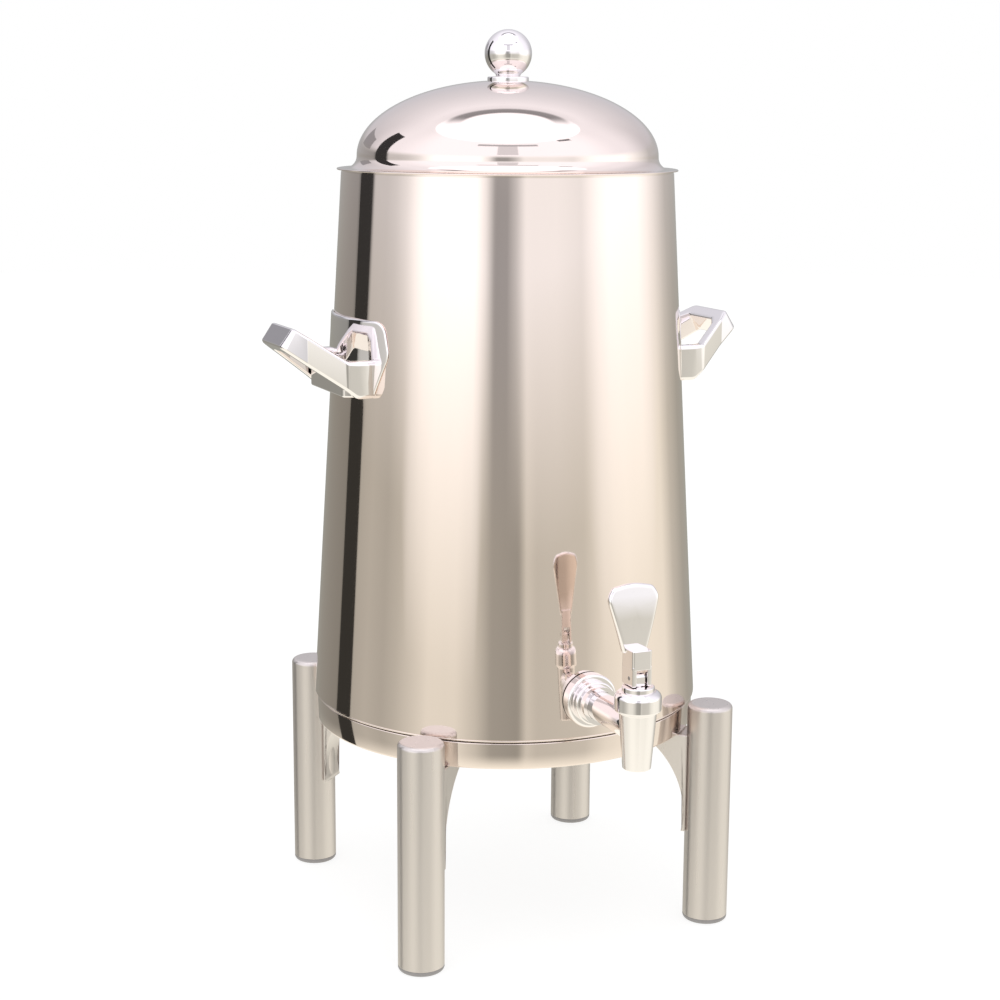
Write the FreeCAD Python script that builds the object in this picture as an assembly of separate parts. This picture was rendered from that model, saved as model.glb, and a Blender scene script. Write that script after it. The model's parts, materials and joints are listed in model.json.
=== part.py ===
import FreeCAD, Part
import math
import os

V = FreeCAD.Vector
os.makedirs("parts", exist_ok=True)

# Frame: +Z up, origin on the urn's axis at table level, the tap faces -Y

# A cutting tool runs past what it cuts by this much, or reaches from inside the tank to outside
overshoot = 1.0
size_tolerance = 0.01
reach_start = 100.0
reach_end = 180.0

# Body
base_z = 168.0
body_bottom_z = 173.2
body_height = 402.0
body_bottom_r = 150.4
body_top_r = 126.1
shell_wall = 1.2
tank_gap = 8.1
tank_wall = 1.2
tank_floor_height = 16.0
tank_corner_r = 3.0
jacket_clearance = 0.4
rim_thickness = 1.5
rim_inner_lip = 1.0
rim_edge_setback = 0.3
pan_wall = 1.5
pan_skirt_height = 9.8

# Stand
ring_outer_r = 148.8
ring_height = 21.9
ring_wall = 2.0
ring_seam = 0.7
shelf_inner_r = 122.0
flange_inner_r = 126.0
pan_clearance = 0.5
leg_r = 17.25
leg_gap = 3.45
leg_wall = 2.0
leg_above_ring = 2.5
leg_cap_thickness = 3.0
leg_top_fillet = 3.5
leg_azimuth = 45.0
foot_thickness = 4.0
foot_fillet = 3.0
foot_plug_height = 12.0
foot_plug_clearance = 0.1
bracket_width = 25.0
bracket_inner_r = 124.0
bracket_ledge = 7.0
bracket_height = 78.0
bracket_bend_out = 0.64
bracket_bend_down = 0.24
bracket_weld = 0.5
screw_r = 2.5
screw_head_r = 4.5
screw_head_height = 3.0
screw_clearance = 0.3
bracket_screw_length = 12.0
bracket_screw_spacing = 12.0
bracket_screw_inset = 8.0
base_bolt_circle_r = 134.0
bolt_access_r = 5.5
bolt_tip = 1.0
nut_r = 4.6
nut_height = 4.0

# Lid
lid_wall = 1.2
lid_flange_r = 129.3
lid_flare_r = 9.0
lid_dome_r = 114.2
lid_dome_height = 56.5
lid_skirt_depth = 14.0
lid_liner_wall = 1.0

# Lid knob
knob_ball_r = 17.8
knob_ball_rise = 17.0
knob_neck_r = 9.2
knob_collar_r = 15.6
knob_collar_height = 2.5
knob_collar_fillet = 1.0
knob_collar_skirt = 2.0
knob_screw_r = 3.0
knob_screw_depth = 13.0
knob_washer_r = 8.0
knob_washer_thickness = 1.5
knob_washer_gap = 0.4
knob_screw_head_r = 5.4
knob_screw_head_height = 4.0
knob_screw_tip_gap = 1.0

# Handles
handle_z = 415.0
handle_plate_height = 56.0
handle_plate_thickness = 4.0
handle_plate_bottom_half = 47.5
handle_plate_top_half = 60.0
handle_pad_face_r = 147.0
handle_pad_half = 36.0
handle_pad_height = 24.0
handle_pad_back_half = 46.0
handle_slope = 35.5
handle_arm_rise = 6.0
handle_strap_height = 17.5
handle_strap = 8.0
handle_grip_thickness = 9.5
handle_root_half = 54.0
handle_bend_r = 172.0
handle_bend_half = 33.0
handle_grip_r = 190.5
handle_grip_half = 25.0
handle_edge_fillet = 1.6
handle_corner_fillet = 6.2
handle_root_spread = 3.0
handle_root_inside = 12.0
handle_inner_root = 10.4
handle_inner_plate = 12.0
handle_inner_bend = 5.0
stud_azimuth = 9.5
stud_rise = 15.0
stud_r = 2.5
stud_grip = 7.0
backing_thickness = 2.0
backing_height = 18.0
backing_half_width = 32.0
pocket_margin = 4.0
stud_nut_height = 3.2
stud_nut_gap = 0.3
stud_tip = 1.0

# Tap
tap_z = 201.0
tap_axis_r = 225.0
flange_r = 20.0
flange_thickness = 8.0
flange_edge_fillet = 2.0
gasket_thickness = 1.0
shank_r = 8.0
shank_bore_r = 4.5
shank_length = 38.0
outlet_r = 13.0
outlet_inside = 6.0
shank_inset = 2.0
outlet_shell_gap = 1.5
gasket_margin = 2.0
nut_big_r = 16.0
nut_fillet = 1.2
nut_small_r = 14.0
nut_big_length = 6.0
nut_small_length = 7.0
nut_barrel_overlap = 5.0
barrel_r = 11.0
barrel_clearance = 0.05
thread_clearance = 0.05
spout_length = 28.8
spout_tip_r = 10.0
spout_top_r = 13.4
shoulder_r = 16.6
shoulder_height = 15.0
shoulder_fillet = 5.0
shoulder_rise = 12.5
mouth_bore_r = 7.5
seat_drop = 5.0
seat_thickness = 4.0
seat_bore_r = 5.0
chamber_r = 9.0
bonnet_r = 11.5
bonnet_height = 3.5
bonnet_plug_length = 6.5
stem_r = 3.0
stem_clearance = 0.05
stem_collar_r = 6.0
stem_collar_height = 2.0
stem_head_width = 6.4
stem_head_depth = 7.0
stem_head_gap = 0.5
stem_foot_inset = 2.0
cup_r = 7.6
cup_height = 9.0
spring_wire_r = 0.5
spring_coil_r = 5.0
pin_r = 1.5
pin_clearance = 0.05
pin_rise = 6.0
fork_width = 15.0
fork_depth = 17.0
fork_front = 6.0
fork_slot_width = 8.4
fork_slot_height = 12.0
fork_height = 26.0
fork_lift_gap = 0.3
fork_edge_fillet = 1.0
paddle_height = 45.0
paddle_setback = 7.5
paddle_thickness = 5.0
paddle_bottom_width = 18.0
paddle_top_width = 40.0
paddle_crown = 7.0
paddle_shoulder_drop = 11.0
paddle_root_depth = 2.0
paddle_corner_out = 0.78
paddle_corner_drop = 0.42

# Heights and radii that follow
body_top_z = body_bottom_z + body_height
taper = (body_bottom_r - body_top_r) / body_height
rim_top_z = body_top_z + rim_thickness
ring_top_z = body_bottom_z - ring_seam
ring_bottom_z = ring_top_z - ring_height
tank_floor_z = body_bottom_z + tank_floor_height
tank_offset = shell_wall + tank_gap
tank_inner_offset = tank_offset + tank_wall
leg_circle_r = ring_outer_r + leg_gap + leg_r
leg_top_z = ring_top_z + leg_above_ring
seat_z = tap_z - seat_drop
spout_tip_z = tap_z - spout_length
shoulder_z = tap_z + shoulder_rise
tap_top_z = shoulder_z + shoulder_height
bonnet_top_z = tap_top_z + bonnet_height
pin_z = bonnet_top_z + pin_rise
handle_azimuths = {"left": 270.0, "right": 90.0}
leg_places = {
    "front_left": 360.0 - leg_azimuth,
    "front_right": leg_azimuth,
    "rear_right": 180.0 - leg_azimuth,
    "rear_left": 180.0 + leg_azimuth,
}


def body_r(z):
    """Outer radius of the tapered body at a height, continued past its ends."""
    return body_bottom_r - taper * (z - body_bottom_z)


def polygon_face(points):
    wire = Part.makePolygon(points + [points[0]])
    return Part.Face(wire)


def turned(outline):
    """Turn a closed outline of (radius, height) points about the Z axis."""
    face = polygon_face([V(r, 0, z) for r, z in outline])
    return face.revolve(V(0, 0, 0), V(0, 0, 1), 360)


def cylinder(r, z0, z1, x=0.0, y=0.0):
    return Part.makeCylinder(r, z1 - z0, V(x, y, z0))


def radial_cylinder(r, start, end, z, azimuth=0.0):
    """A round bar that points out from the urn's axis; azimuth 0 is the tap's side."""
    bar = Part.makeCylinder(r, end - start, V(0, -start, z), V(0, -1, 0))
    return placed(bar, azimuth)


def placed(shape, azimuth):
    """Turn a piece about the urn's axis from the tap's side, towards +X."""
    copy = shape.copy()
    copy.rotate(V(0, 0, 0), V(0, 0, 1), azimuth)
    return copy


def body_cone(offset, z0, z1):
    """The solid inside the body's taper, moved in by offset, between two heights."""
    return Part.makeCone(body_r(z0) - offset, body_r(z1) - offset, z1 - z0, V(0, 0, z0))


def tapered_tube(outer_offset, inner_offset, z0, z1):
    return body_cone(outer_offset, z0, z1).cut(body_cone(inner_offset, z0, z1))


def save(name, shape):
    shape.exportStep("parts/" + name + ".step")


# Stand
def stand_ring():
    """The stand's upright band, with the flange that the brackets are screwed to."""
    inner = ring_outer_r - ring_wall
    flange_top = ring_bottom_z + ring_wall
    outline = [
        (ring_outer_r, ring_bottom_z),
        (ring_outer_r, ring_top_z),
        (inner, ring_top_z),
        (inner, flange_top),
        (flange_inner_r, flange_top),
        (flange_inner_r, ring_bottom_z),
    ]
    ring = turned(outline)
    for x, y in base_bolt_places():
        ring = ring.cut(cylinder(bolt_access_r, ring_bottom_z, flange_top, x, y))
    for azimuth in leg_places.values():
        for hole in bracket_screw_bars(azimuth, screw_r + screw_clearance, ring_bottom_z, flange_top):
            ring = ring.cut(hole)
    return ring


def stand_shelf():
    """The flat ring welded inside the band, which the body stands on."""
    low = base_z - ring_wall
    outer = ring_outer_r - ring_wall
    shelf = cylinder(outer, low, base_z).cut(cylinder(shelf_inner_r, low, base_z))
    for x, y in base_bolt_places():
        shelf = shelf.cut(cylinder(screw_r + screw_clearance, low, base_z, x, y))
    return shelf


def base_bolt_places():
    for step in range(4):
        angle = math.radians(90.0 * step)
        yield base_bolt_circle_r * math.sin(angle), -base_bolt_circle_r * math.cos(angle)


def bracket_screw_bars(azimuth, r, z0, z1):
    """The two upright screws of a bracket, side by side behind the ring's wall."""
    out = bracket_inner_r + bracket_screw_inset
    bars = []
    for side in (-0.5, 0.5):
        bar = cylinder(r, z0, z1, side * bracket_screw_spacing, -out)
        bars.append(placed(bar, azimuth))
    return bars


def leg(azimuth):
    """A leg is a tube with a closed, rounded top and an open foot end."""
    tube = cylinder(leg_r, foot_thickness, leg_top_z, 0, -leg_circle_r)
    rim = [e for e in tube.Edges if abs(e.BoundBox.ZMin - leg_top_z) < size_tolerance and e.Closed]
    tube = tube.makeFillet(leg_top_fillet, rim)
    hollow_top = leg_top_z - leg_cap_thickness - leg_wall
    tube = tube.cut(cylinder(leg_r - leg_wall, foot_thickness, hollow_top, 0, -leg_circle_r))
    return placed(tube, azimuth)


def leg_foot(azimuth):
    """A glide that plugs the leg's open end, with a rounded lower edge."""
    disc = cylinder(leg_r, 0, foot_thickness, 0, -leg_circle_r)
    edge = [e for e in disc.Edges if abs(e.BoundBox.ZMax) < size_tolerance and e.Closed]
    disc = disc.makeFillet(foot_fillet, edge)
    plug_r = leg_r - leg_wall - foot_plug_clearance
    plug = cylinder(plug_r, foot_thickness, foot_thickness + foot_plug_height, 0, -leg_circle_r)
    return placed(disc.fuse(plug).removeSplitter(), azimuth)


def leg_bracket(azimuth):
    """A gusset from the ring's lower flange to the leg, with one hollow curved side."""
    top = ring_bottom_z
    low = top - bracket_height
    leg_side = leg_circle_r - leg_r
    start = V(0, -bracket_inner_r, top - bracket_ledge)
    end = V(0, bracket_weld - leg_side, low)
    bend_r = bracket_inner_r + (leg_side - bracket_inner_r) * bracket_bend_out
    bend = V(0, -bend_r, top - bracket_ledge - bracket_height * bracket_bend_down)
    curve = Part.Arc(start, bend, end).toShape()
    leg_middle = V(0, -leg_circle_r, low)
    edges = [
        curve,
        Part.makeLine(end, leg_middle),
        Part.makeLine(leg_middle, V(0, -leg_circle_r, top)),
        Part.makeLine(V(0, -leg_circle_r, top), V(0, -bracket_inner_r, top)),
        Part.makeLine(V(0, -bracket_inner_r, top), start),
    ]
    face = Part.Face(Part.Wire(edges))
    plate = face.extrude(V(bracket_width, 0, 0))
    plate.translate(V(-bracket_width / 2, 0, 0))
    plate = plate.cut(cylinder(leg_r, low, top, 0, -leg_circle_r))
    plate = placed(plate, azimuth)
    for hole in bracket_screw_bars(azimuth, screw_r, top - bracket_screw_length, top):
        plate = plate.cut(hole)
    return max(plate.Solids, key=lambda piece: piece.Volume)


def bracket_screws():
    solids = []
    seat = ring_bottom_z + ring_wall
    for azimuth in leg_places.values():
        shafts = bracket_screw_bars(azimuth, screw_r, ring_bottom_z - bracket_screw_length, seat)
        heads = bracket_screw_bars(azimuth, screw_head_r, seat, seat + screw_head_height)
        for shaft, head in zip(shafts, heads):
            solids.append(shaft.fuse(head).removeSplitter())
    return Part.makeCompound(solids)


def base_bolts():
    solids = []
    seat = base_z - ring_wall
    for x, y in base_bolt_places():
        shaft = cylinder(screw_r, seat, base_z + pan_wall + nut_height + bolt_tip, x, y)
        head = cylinder(screw_head_r, seat - screw_head_height, seat, x, y)
        solids.append(shaft.fuse(head).removeSplitter())
    return Part.makeCompound(solids)


def hexagon_bar(r, z0, z1, x, y):
    corners = []
    for step in range(6):
        angle = math.radians(60.0 * step)
        corners.append(V(x + r * math.cos(angle), y + r * math.sin(angle), z0))
    return polygon_face(corners).extrude(V(0, 0, z1 - z0))


def base_nuts():
    solids = []
    seat = base_z + pan_wall
    for x, y in base_bolt_places():
        nut = hexagon_bar(nut_r, seat, seat + nut_height, x, y)
        solids.append(nut.cut(cylinder(screw_r, seat, seat + nut_height, x, y)))
    return Part.makeCompound(solids)


# Body
def base_pan():
    """The pan under the body: it drops inside the stand's ring and laps the shell above it."""
    lower_r = ring_outer_r - ring_wall - pan_clearance
    shoulder = body_bottom_z
    skirt_top = shoulder + pan_skirt_height
    outline = [
        (0, base_z),
        (lower_r, base_z),
        (lower_r, shoulder),
        (body_r(shoulder) - shell_wall, shoulder),
        (body_r(skirt_top) - shell_wall, skirt_top),
        (body_r(skirt_top) - shell_wall - pan_wall, skirt_top),
        (body_r(shoulder) - shell_wall - pan_wall, shoulder + pan_wall),
        (lower_r - pan_wall, shoulder + pan_wall),
        (lower_r - pan_wall, base_z + pan_wall),
        (0, base_z + pan_wall),
    ]
    pan = turned(outline)
    for x, y in base_bolt_places():
        pan = pan.cut(cylinder(screw_r + screw_clearance, base_z, base_z + pan_wall, x, y))
    return pan


def outer_shell():
    shell = tapered_tube(0, shell_wall, body_bottom_z, body_top_z)
    shell = shell.cut(radial_cylinder(shank_r + screw_clearance, reach_start, reach_end, tap_z))
    for stud in stud_bars(stud_r + screw_clearance, reach_start, reach_end):
        shell = shell.cut(stud)
    return shell


def inner_tank():
    outside = body_cone(tank_offset, tank_floor_z - tank_wall, body_top_z)
    inside = body_cone(tank_inner_offset, tank_floor_z, body_top_z)
    low_edge = [e for e in inside.Edges if abs(e.BoundBox.ZMax - tank_floor_z) < size_tolerance and e.Closed]
    inside = inside.makeFillet(tank_corner_r, low_edge)
    low_rim = tank_floor_z - tank_wall
    low_edge = [e for e in outside.Edges if abs(e.BoundBox.ZMax - low_rim) < size_tolerance and e.Closed]
    outside = outside.makeFillet(tank_corner_r + tank_wall, low_edge)
    tank = outside.cut(inside)
    return tank.cut(radial_cylinder(outlet_r, reach_start, reach_end, tap_z))


def insulation_jacket():
    low = tank_floor_z
    high = body_top_z - rim_thickness
    jacket = tapered_tube(shell_wall + jacket_clearance, tank_offset - jacket_clearance, low, high)
    jacket = jacket.cut(radial_cylinder(outlet_r + jacket_clearance, reach_start, reach_end, tap_z))
    middle = handle_z + stud_rise
    for azimuth in handle_azimuths.values():
        pocket = backing_block(backing_height + pocket_margin, backing_half_width + pocket_margin, middle)
        jacket = jacket.cut(placed(pocket, azimuth))
    return jacket


def backing_block(height, half_width, middle):
    corner = V(-half_width, -reach_end, middle - height / 2)
    return Part.makeBox(half_width * 2, reach_end - reach_start, height, corner)


def rim_ring():
    """The flat ring that joins the shell's top edge to the tank's."""
    inner = body_r(body_top_z) - tank_inner_offset - rim_inner_lip
    outer = body_r(rim_top_z) - rim_edge_setback
    outline = [(inner, body_top_z), (outer, body_top_z), (outer, rim_top_z), (inner, rim_top_z)]
    return turned(outline)


# Lid
def dome_solid(shrink, bottom_z):
    """The lid's outside as a solid: flat flange, hollow flare, then a quarter of an ellipse."""
    dome_r = lid_dome_r - shrink
    flare = lid_flare_r + shrink
    flange_top = rim_top_z + lid_wall - shrink
    spring_z = rim_top_z + lid_wall + lid_flare_r
    height = lid_dome_height - shrink
    foot_r = dome_r + flare
    diagonal = math.sqrt(0.5)
    flare_middle = V(foot_r - flare * diagonal, 0, spring_z - flare * diagonal)
    ellipse = Part.Ellipse(V(0, 0, spring_z), dome_r, height)
    ellipse_edge = ellipse.toShape(0, math.pi / 2)
    ellipse_edge.rotate(V(0, 0, spring_z), V(1, 0, 0), 90)
    flare_edge = Part.Arc(V(foot_r, 0, flange_top), flare_middle, V(dome_r, 0, spring_z)).toShape()
    edges = []
    if shrink == 0:
        edges.append(Part.makeLine(V(0, 0, bottom_z), V(lid_flange_r, 0, bottom_z)))
        edges.append(Part.makeLine(V(lid_flange_r, 0, bottom_z), V(lid_flange_r, 0, flange_top)))
        edges.append(Part.makeLine(V(lid_flange_r, 0, flange_top), V(foot_r, 0, flange_top)))
    else:
        edges.append(Part.makeLine(V(0, 0, bottom_z), V(foot_r, 0, bottom_z)))
        if flange_top - bottom_z > size_tolerance:
            edges.append(Part.makeLine(V(foot_r, 0, bottom_z), V(foot_r, 0, flange_top)))
    edges.append(flare_edge)
    edges.append(ellipse_edge)
    edges.append(Part.makeLine(V(0, 0, spring_z + height), V(0, 0, bottom_z)))
    wire = Part.Wire(Part.sortEdges(edges)[0])
    return Part.Face(wire).revolve(V(0, 0, 0), V(0, 0, 1), 360)


def lid_shell():
    shell = dome_solid(0, rim_top_z).cut(dome_solid(lid_wall, rim_top_z))
    return shell.cut(cylinder(knob_screw_r + screw_clearance, rim_top_z, lid_top_z() + overshoot))


def lid_liner():
    """The pan inside the lid; its skirt drops into the tank's mouth and centres the lid."""
    outer = lid_dome_r - lid_wall
    top = rim_top_z + lid_wall + lid_flare_r
    low = rim_top_z - lid_skirt_depth
    pan = cylinder(outer, low, top)
    return pan.cut(cylinder(outer - lid_liner_wall, low + lid_liner_wall, top))


def lid_top_z():
    return rim_top_z + lid_wall + lid_flare_r + lid_dome_height


def knob_collar():
    low = lid_top_z() - knob_collar_skirt
    top = lid_top_z() + knob_collar_height
    disc = cylinder(knob_collar_r, low, top)
    rim = [e for e in disc.Edges if abs(e.BoundBox.ZMin - top) < size_tolerance and e.Closed]
    disc = disc.makeFillet(knob_collar_fillet, rim)
    disc = disc.cut(dome_solid(0, rim_top_z))
    return disc.cut(cylinder(knob_screw_r + screw_clearance, low, top))


def knob_ball():
    seat = lid_top_z() + knob_collar_height
    centre = seat + knob_ball_rise
    ball = Part.makeSphere(knob_ball_r, V(0, 0, centre))
    neck = cylinder(knob_neck_r, seat, centre)
    ball = ball.fuse(neck).cut(cylinder(knob_ball_r, seat - knob_ball_r, seat)).removeSplitter()
    return ball.cut(cylinder(knob_screw_r, seat - overshoot, seat + knob_screw_depth))


def knob_washer():
    top = lid_top_z() - lid_wall - knob_washer_gap
    washer = cylinder(knob_washer_r, top - knob_washer_thickness, top)
    return washer.cut(cylinder(knob_screw_r + screw_clearance, top - knob_washer_thickness, top))


def knob_screw():
    seat = lid_top_z() - lid_wall - knob_washer_gap - knob_washer_thickness
    top = lid_top_z() + knob_collar_height + knob_screw_depth - knob_screw_tip_gap
    shaft = cylinder(knob_screw_r, seat, top)
    head = hexagon_bar(knob_screw_head_r, seat - knob_screw_head_height, seat, 0, 0)
    return shaft.fuse(head).removeSplitter()


# Handles, made on the tap's side and then turned to their own side
def slope_at(r):
    """Height of the underside of a handle's arms at a distance from the urn's axis."""
    return handle_z + handle_arm_rise + (r - handle_pad_face_r) * math.tan(math.radians(handle_slope))


def upright_prism(plan, z0, z1):
    face = polygon_face([V(x, -out, z0) for out, x in plan])
    return face.extrude(V(0, 0, z1 - z0))


def mirrored(half):
    """Close a plan that is listed for one side, as (distance out, sideways) points."""
    other = [(out, -x) for out, x in reversed(half)]
    return half + other


def arm_loop():
    """The six-sided loop: an upright band, sliced along a slope outside the pad's face."""
    inside = body_r(handle_z) - handle_root_inside
    face = body_r(handle_z) + handle_plate_thickness
    outer = mirrored([
        (inside, handle_root_half + handle_root_spread),
        (face, handle_root_half),
        (handle_bend_r, handle_bend_half),
        (handle_grip_r, handle_grip_half),
    ])
    inner = mirrored([
        (inside - overshoot, handle_root_half - handle_inner_root),
        (face, handle_root_half - handle_inner_plate),
        (handle_bend_r - handle_inner_bend, handle_bend_half - handle_strap),
        (handle_grip_r - handle_grip_thickness, handle_grip_half - handle_strap),
    ])
    low = handle_z - handle_plate_height
    high = handle_z + 2 * handle_plate_height
    band = upright_prism(outer, low, high).cut(upright_prism(inner, low, high))
    band = band.common(slope_slab(inside))
    return band.cut(grip_trim())


def slope_slab(inside):
    """The slab that the loop is cut from: level behind the pad's face, sloping outside it."""
    rise = handle_strap_height / math.cos(math.radians(handle_slope))
    knee = slope_at(handle_pad_face_r)
    past_grip = handle_grip_r + handle_grip_thickness
    tip = slope_at(past_grip)
    outline = [
        V(0, -inside, handle_z),
        V(0, -handle_pad_face_r, handle_z),
        V(0, -handle_pad_face_r, knee),
        V(0, -past_grip, tip),
        V(0, -past_grip, tip + rise),
        V(0, -handle_pad_face_r, knee + rise),
        V(0, -inside, knee + rise),
    ]
    slab = polygon_face(outline).extrude(V(4 * handle_root_half, 0, 0))
    slab.translate(V(-2 * handle_root_half, 0, 0))
    return slab


def grip_trim():
    """The block that squares the grip's outer face to the slope."""
    width = 4 * handle_root_half
    depth = handle_plate_height
    block = Part.makeBox(width, depth, 2 * depth, V(-width / 2, -depth, -depth))
    block.rotate(V(0, 0, 0), V(1, 0, 0), -handle_slope)
    block.translate(V(0, -handle_grip_r, slope_at(handle_grip_r)))
    return block


def handle_plate():
    """The plate that lies on the body behind the loop, with rounded corners and edges."""
    top = handle_z + handle_plate_height
    outline = [
        V(handle_plate_bottom_half, -reach_start, handle_z),
        V(handle_plate_top_half, -reach_start, top),
        V(-handle_plate_top_half, -reach_start, top),
        V(-handle_plate_bottom_half, -reach_start, handle_z),
    ]
    depth = reach_end - reach_start
    prism = polygon_face(outline).extrude(V(0, -depth, 0))
    corners = [e for e in prism.Edges if abs(e.BoundBox.YLength - depth) < size_tolerance]
    prism = prism.makeFillet(handle_corner_fillet, corners)
    sleeve = tapered_tube(-handle_plate_thickness, 0, handle_z - overshoot, top + overshoot)
    plate = prism.common(sleeve)
    cones = [f for f in plate.Faces if "Cone" in f.Surface.TypeId]
    outside = max(cones, key=lambda face: face.Area)
    return plate.makeFillet(handle_edge_fillet, outside.Edges)


def handle_pad():
    """The thick foot under the arms, with a flat face and rounded edges."""
    skin = body_r(handle_z)
    plan = mirrored([
        (skin - handle_root_inside, handle_pad_back_half),
        (skin, handle_pad_back_half),
        (handle_pad_face_r, handle_pad_half),
    ])
    pad = upright_prism(plan, handle_z, handle_z + handle_pad_height)
    face = [e for e in pad.Edges if abs(-e.BoundBox.YMax - handle_pad_face_r) < size_tolerance]
    return pad.makeFillet(handle_edge_fillet, face)


def handle(azimuth):
    casting = handle_plate().fuse(handle_pad()).fuse(arm_loop()).removeSplitter()
    inside = body_cone(0, handle_z - handle_plate_height, handle_z + 2 * handle_plate_height)
    casting = casting.cut(inside)
    casting = max(casting.Solids, key=lambda piece: piece.Volume)
    casting = placed(casting, azimuth)
    stud_end = body_r(handle_z + stud_rise) + stud_grip
    for bar in stud_bars_at(azimuth, stud_r, reach_start, stud_end):
        casting = casting.cut(bar)
    return casting


def stud_bars_at(azimuth, r, start, end):
    bars = []
    for side in (-1, 1):
        bars.append(radial_cylinder(r, start, end, handle_z + stud_rise, azimuth + side * stud_azimuth))
    return bars


def stud_bars(r, start, end):
    bars = []
    for azimuth in handle_azimuths.values():
        bars += stud_bars_at(azimuth, r, start, end)
    return bars


def stud_inner_end():
    inner_face = body_r(handle_z + stud_rise) - shell_wall
    return inner_face - backing_thickness - stud_nut_gap - stud_nut_height - stud_tip


def handle_backing(azimuth):
    middle = handle_z + stud_rise
    low = middle - backing_height
    high = middle + backing_height
    tube = tapered_tube(shell_wall, shell_wall + backing_thickness, low, high)
    plate = tube.common(backing_block(backing_height, backing_half_width, middle))
    plate = placed(plate, azimuth)
    for bar in stud_bars_at(azimuth, stud_r + screw_clearance, reach_start, reach_end):
        plate = plate.cut(bar)
    return plate


def handle_studs():
    end = body_r(handle_z + stud_rise) + stud_grip
    return Part.makeCompound(stud_bars(stud_r, stud_inner_end(), end))


def handle_nuts():
    solids = []
    start = stud_inner_end() + stud_tip
    for azimuth in handle_azimuths.values():
        for side in (-1, 1):
            nut = hexagon_bar(nut_r, 0, stud_nut_height, 0, 0)
            nut = nut.cut(cylinder(stud_r, 0, stud_nut_height))
            nut.rotate(V(0, 0, 0), V(1, 0, 0), 90)
            nut.translate(V(0, -start, handle_z + stud_rise))
            solids.append(placed(nut, azimuth + side * stud_azimuth))
    return Part.makeCompound(solids)


# Tap, on the -Y side
flange_back_r = body_r(tap_z)
flange_face_r = flange_back_r + flange_thickness
barrel_start_r = flange_face_r + nut_big_length + nut_small_length - nut_barrel_overlap
outlet_start_r = body_r(tap_z) - tank_inner_offset - outlet_inside
shank_start_r = outlet_start_r + shank_inset
shank_end_r = shank_start_r + shank_length


def tank_outlet():
    """The threaded bush that is welded through the tank's wall."""
    end = body_r(tap_z) - shell_wall - outlet_shell_gap
    bush = radial_cylinder(outlet_r, outlet_start_r, end, tap_z)
    return bush.cut(radial_cylinder(shank_r + thread_clearance, outlet_start_r, end, tap_z))


def tap_shank():
    tube = radial_cylinder(shank_r, shank_start_r, shank_end_r, tap_z)
    return tube.cut(radial_cylinder(shank_bore_r, shank_start_r, shank_end_r, tap_z))


def tap_gasket():
    ring = radial_cylinder(flange_r - gasket_margin, reach_start, flange_face_r, tap_z)
    ring = ring.cut(radial_cylinder(shank_r + thread_clearance, reach_start, flange_face_r, tap_z))
    low = tap_z - flange_r - overshoot
    high = tap_z + flange_r + overshoot
    ring = ring.common(body_cone(-gasket_thickness, low, high))
    return ring.cut(body_cone(0, low, high))


def tap_flange():
    """The round plate behind the tap, hollowed to sit on the body."""
    disc = radial_cylinder(flange_r, flange_back_r - flange_thickness, flange_face_r, tap_z)
    rim = [e for e in disc.Edges if abs(e.BoundBox.YMax + flange_face_r) < size_tolerance and e.Closed]
    disc = disc.makeFillet(flange_edge_fillet, rim)
    disc = disc.cut(radial_cylinder(shank_r + thread_clearance, reach_start, flange_face_r, tap_z))
    return disc.cut(body_cone(-gasket_thickness, tap_z - 2 * flange_r, tap_z + 2 * flange_r))


def tap_coupling_nut():
    middle = flange_face_r + nut_big_length
    end = middle + nut_small_length
    big = radial_cylinder(nut_big_r, flange_face_r, middle, tap_z)
    small = radial_cylinder(nut_small_r, middle, end, tap_z)
    nut = big.fuse(small).removeSplitter()
    edges = [e for e in nut.Edges if e.Closed and abs(e.BoundBox.XLength - 2 * nut_big_r) < size_tolerance]
    nut = nut.makeFillet(nut_fillet, edges)
    nut = nut.cut(radial_cylinder(shank_r + thread_clearance, flange_face_r, barrel_start_r, tap_z))
    return nut.cut(radial_cylinder(barrel_r + barrel_clearance, barrel_start_r, end, tap_z))


def tap_cylinder(r, z0, z1):
    return cylinder(r, z0, z1, 0, -tap_axis_r)


def tap_body():
    """The tap's casting: barrel, tapered spout, rounded valve chamber."""
    spout = Part.makeCone(spout_tip_r, spout_top_r, shoulder_z - spout_tip_z, V(0, -tap_axis_r, spout_tip_z))
    drum = tap_cylinder(shoulder_r, shoulder_z, tap_top_z)
    rims = [e for e in drum.Edges if e.Closed and abs(e.BoundBox.ZLength) < size_tolerance]
    drum = drum.makeFillet(shoulder_fillet, rims)
    barrel = radial_cylinder(barrel_r, barrel_start_r, tap_axis_r, tap_z)
    casting = spout.fuse(drum).fuse(barrel).removeSplitter()
    casting = casting.cut(tap_cylinder(mouth_bore_r, spout_tip_z, seat_z - seat_thickness))
    casting = casting.cut(tap_cylinder(seat_bore_r, seat_z - seat_thickness, seat_z))
    casting = casting.cut(tap_cylinder(chamber_r, seat_z, tap_top_z))
    shank_pocket = shank_end_r + thread_clearance
    casting = casting.cut(radial_cylinder(shank_r + thread_clearance, barrel_start_r, shank_pocket, tap_z))
    return casting.cut(radial_cylinder(shank_bore_r, shank_end_r, tap_axis_r, tap_z))


def bonnet_bottom_z():
    return tap_top_z - bonnet_plug_length


def tap_bonnet():
    cap = tap_cylinder(bonnet_r, tap_top_z, bonnet_top_z)
    plug = tap_cylinder(chamber_r - thread_clearance, bonnet_bottom_z(), tap_top_z)
    bonnet = cap.fuse(plug).removeSplitter()
    return bonnet.cut(tap_cylinder(stem_r + stem_clearance, bonnet_bottom_z(), bonnet_top_z))


def collar_top_z():
    return seat_z + cup_height + stem_collar_height


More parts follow.
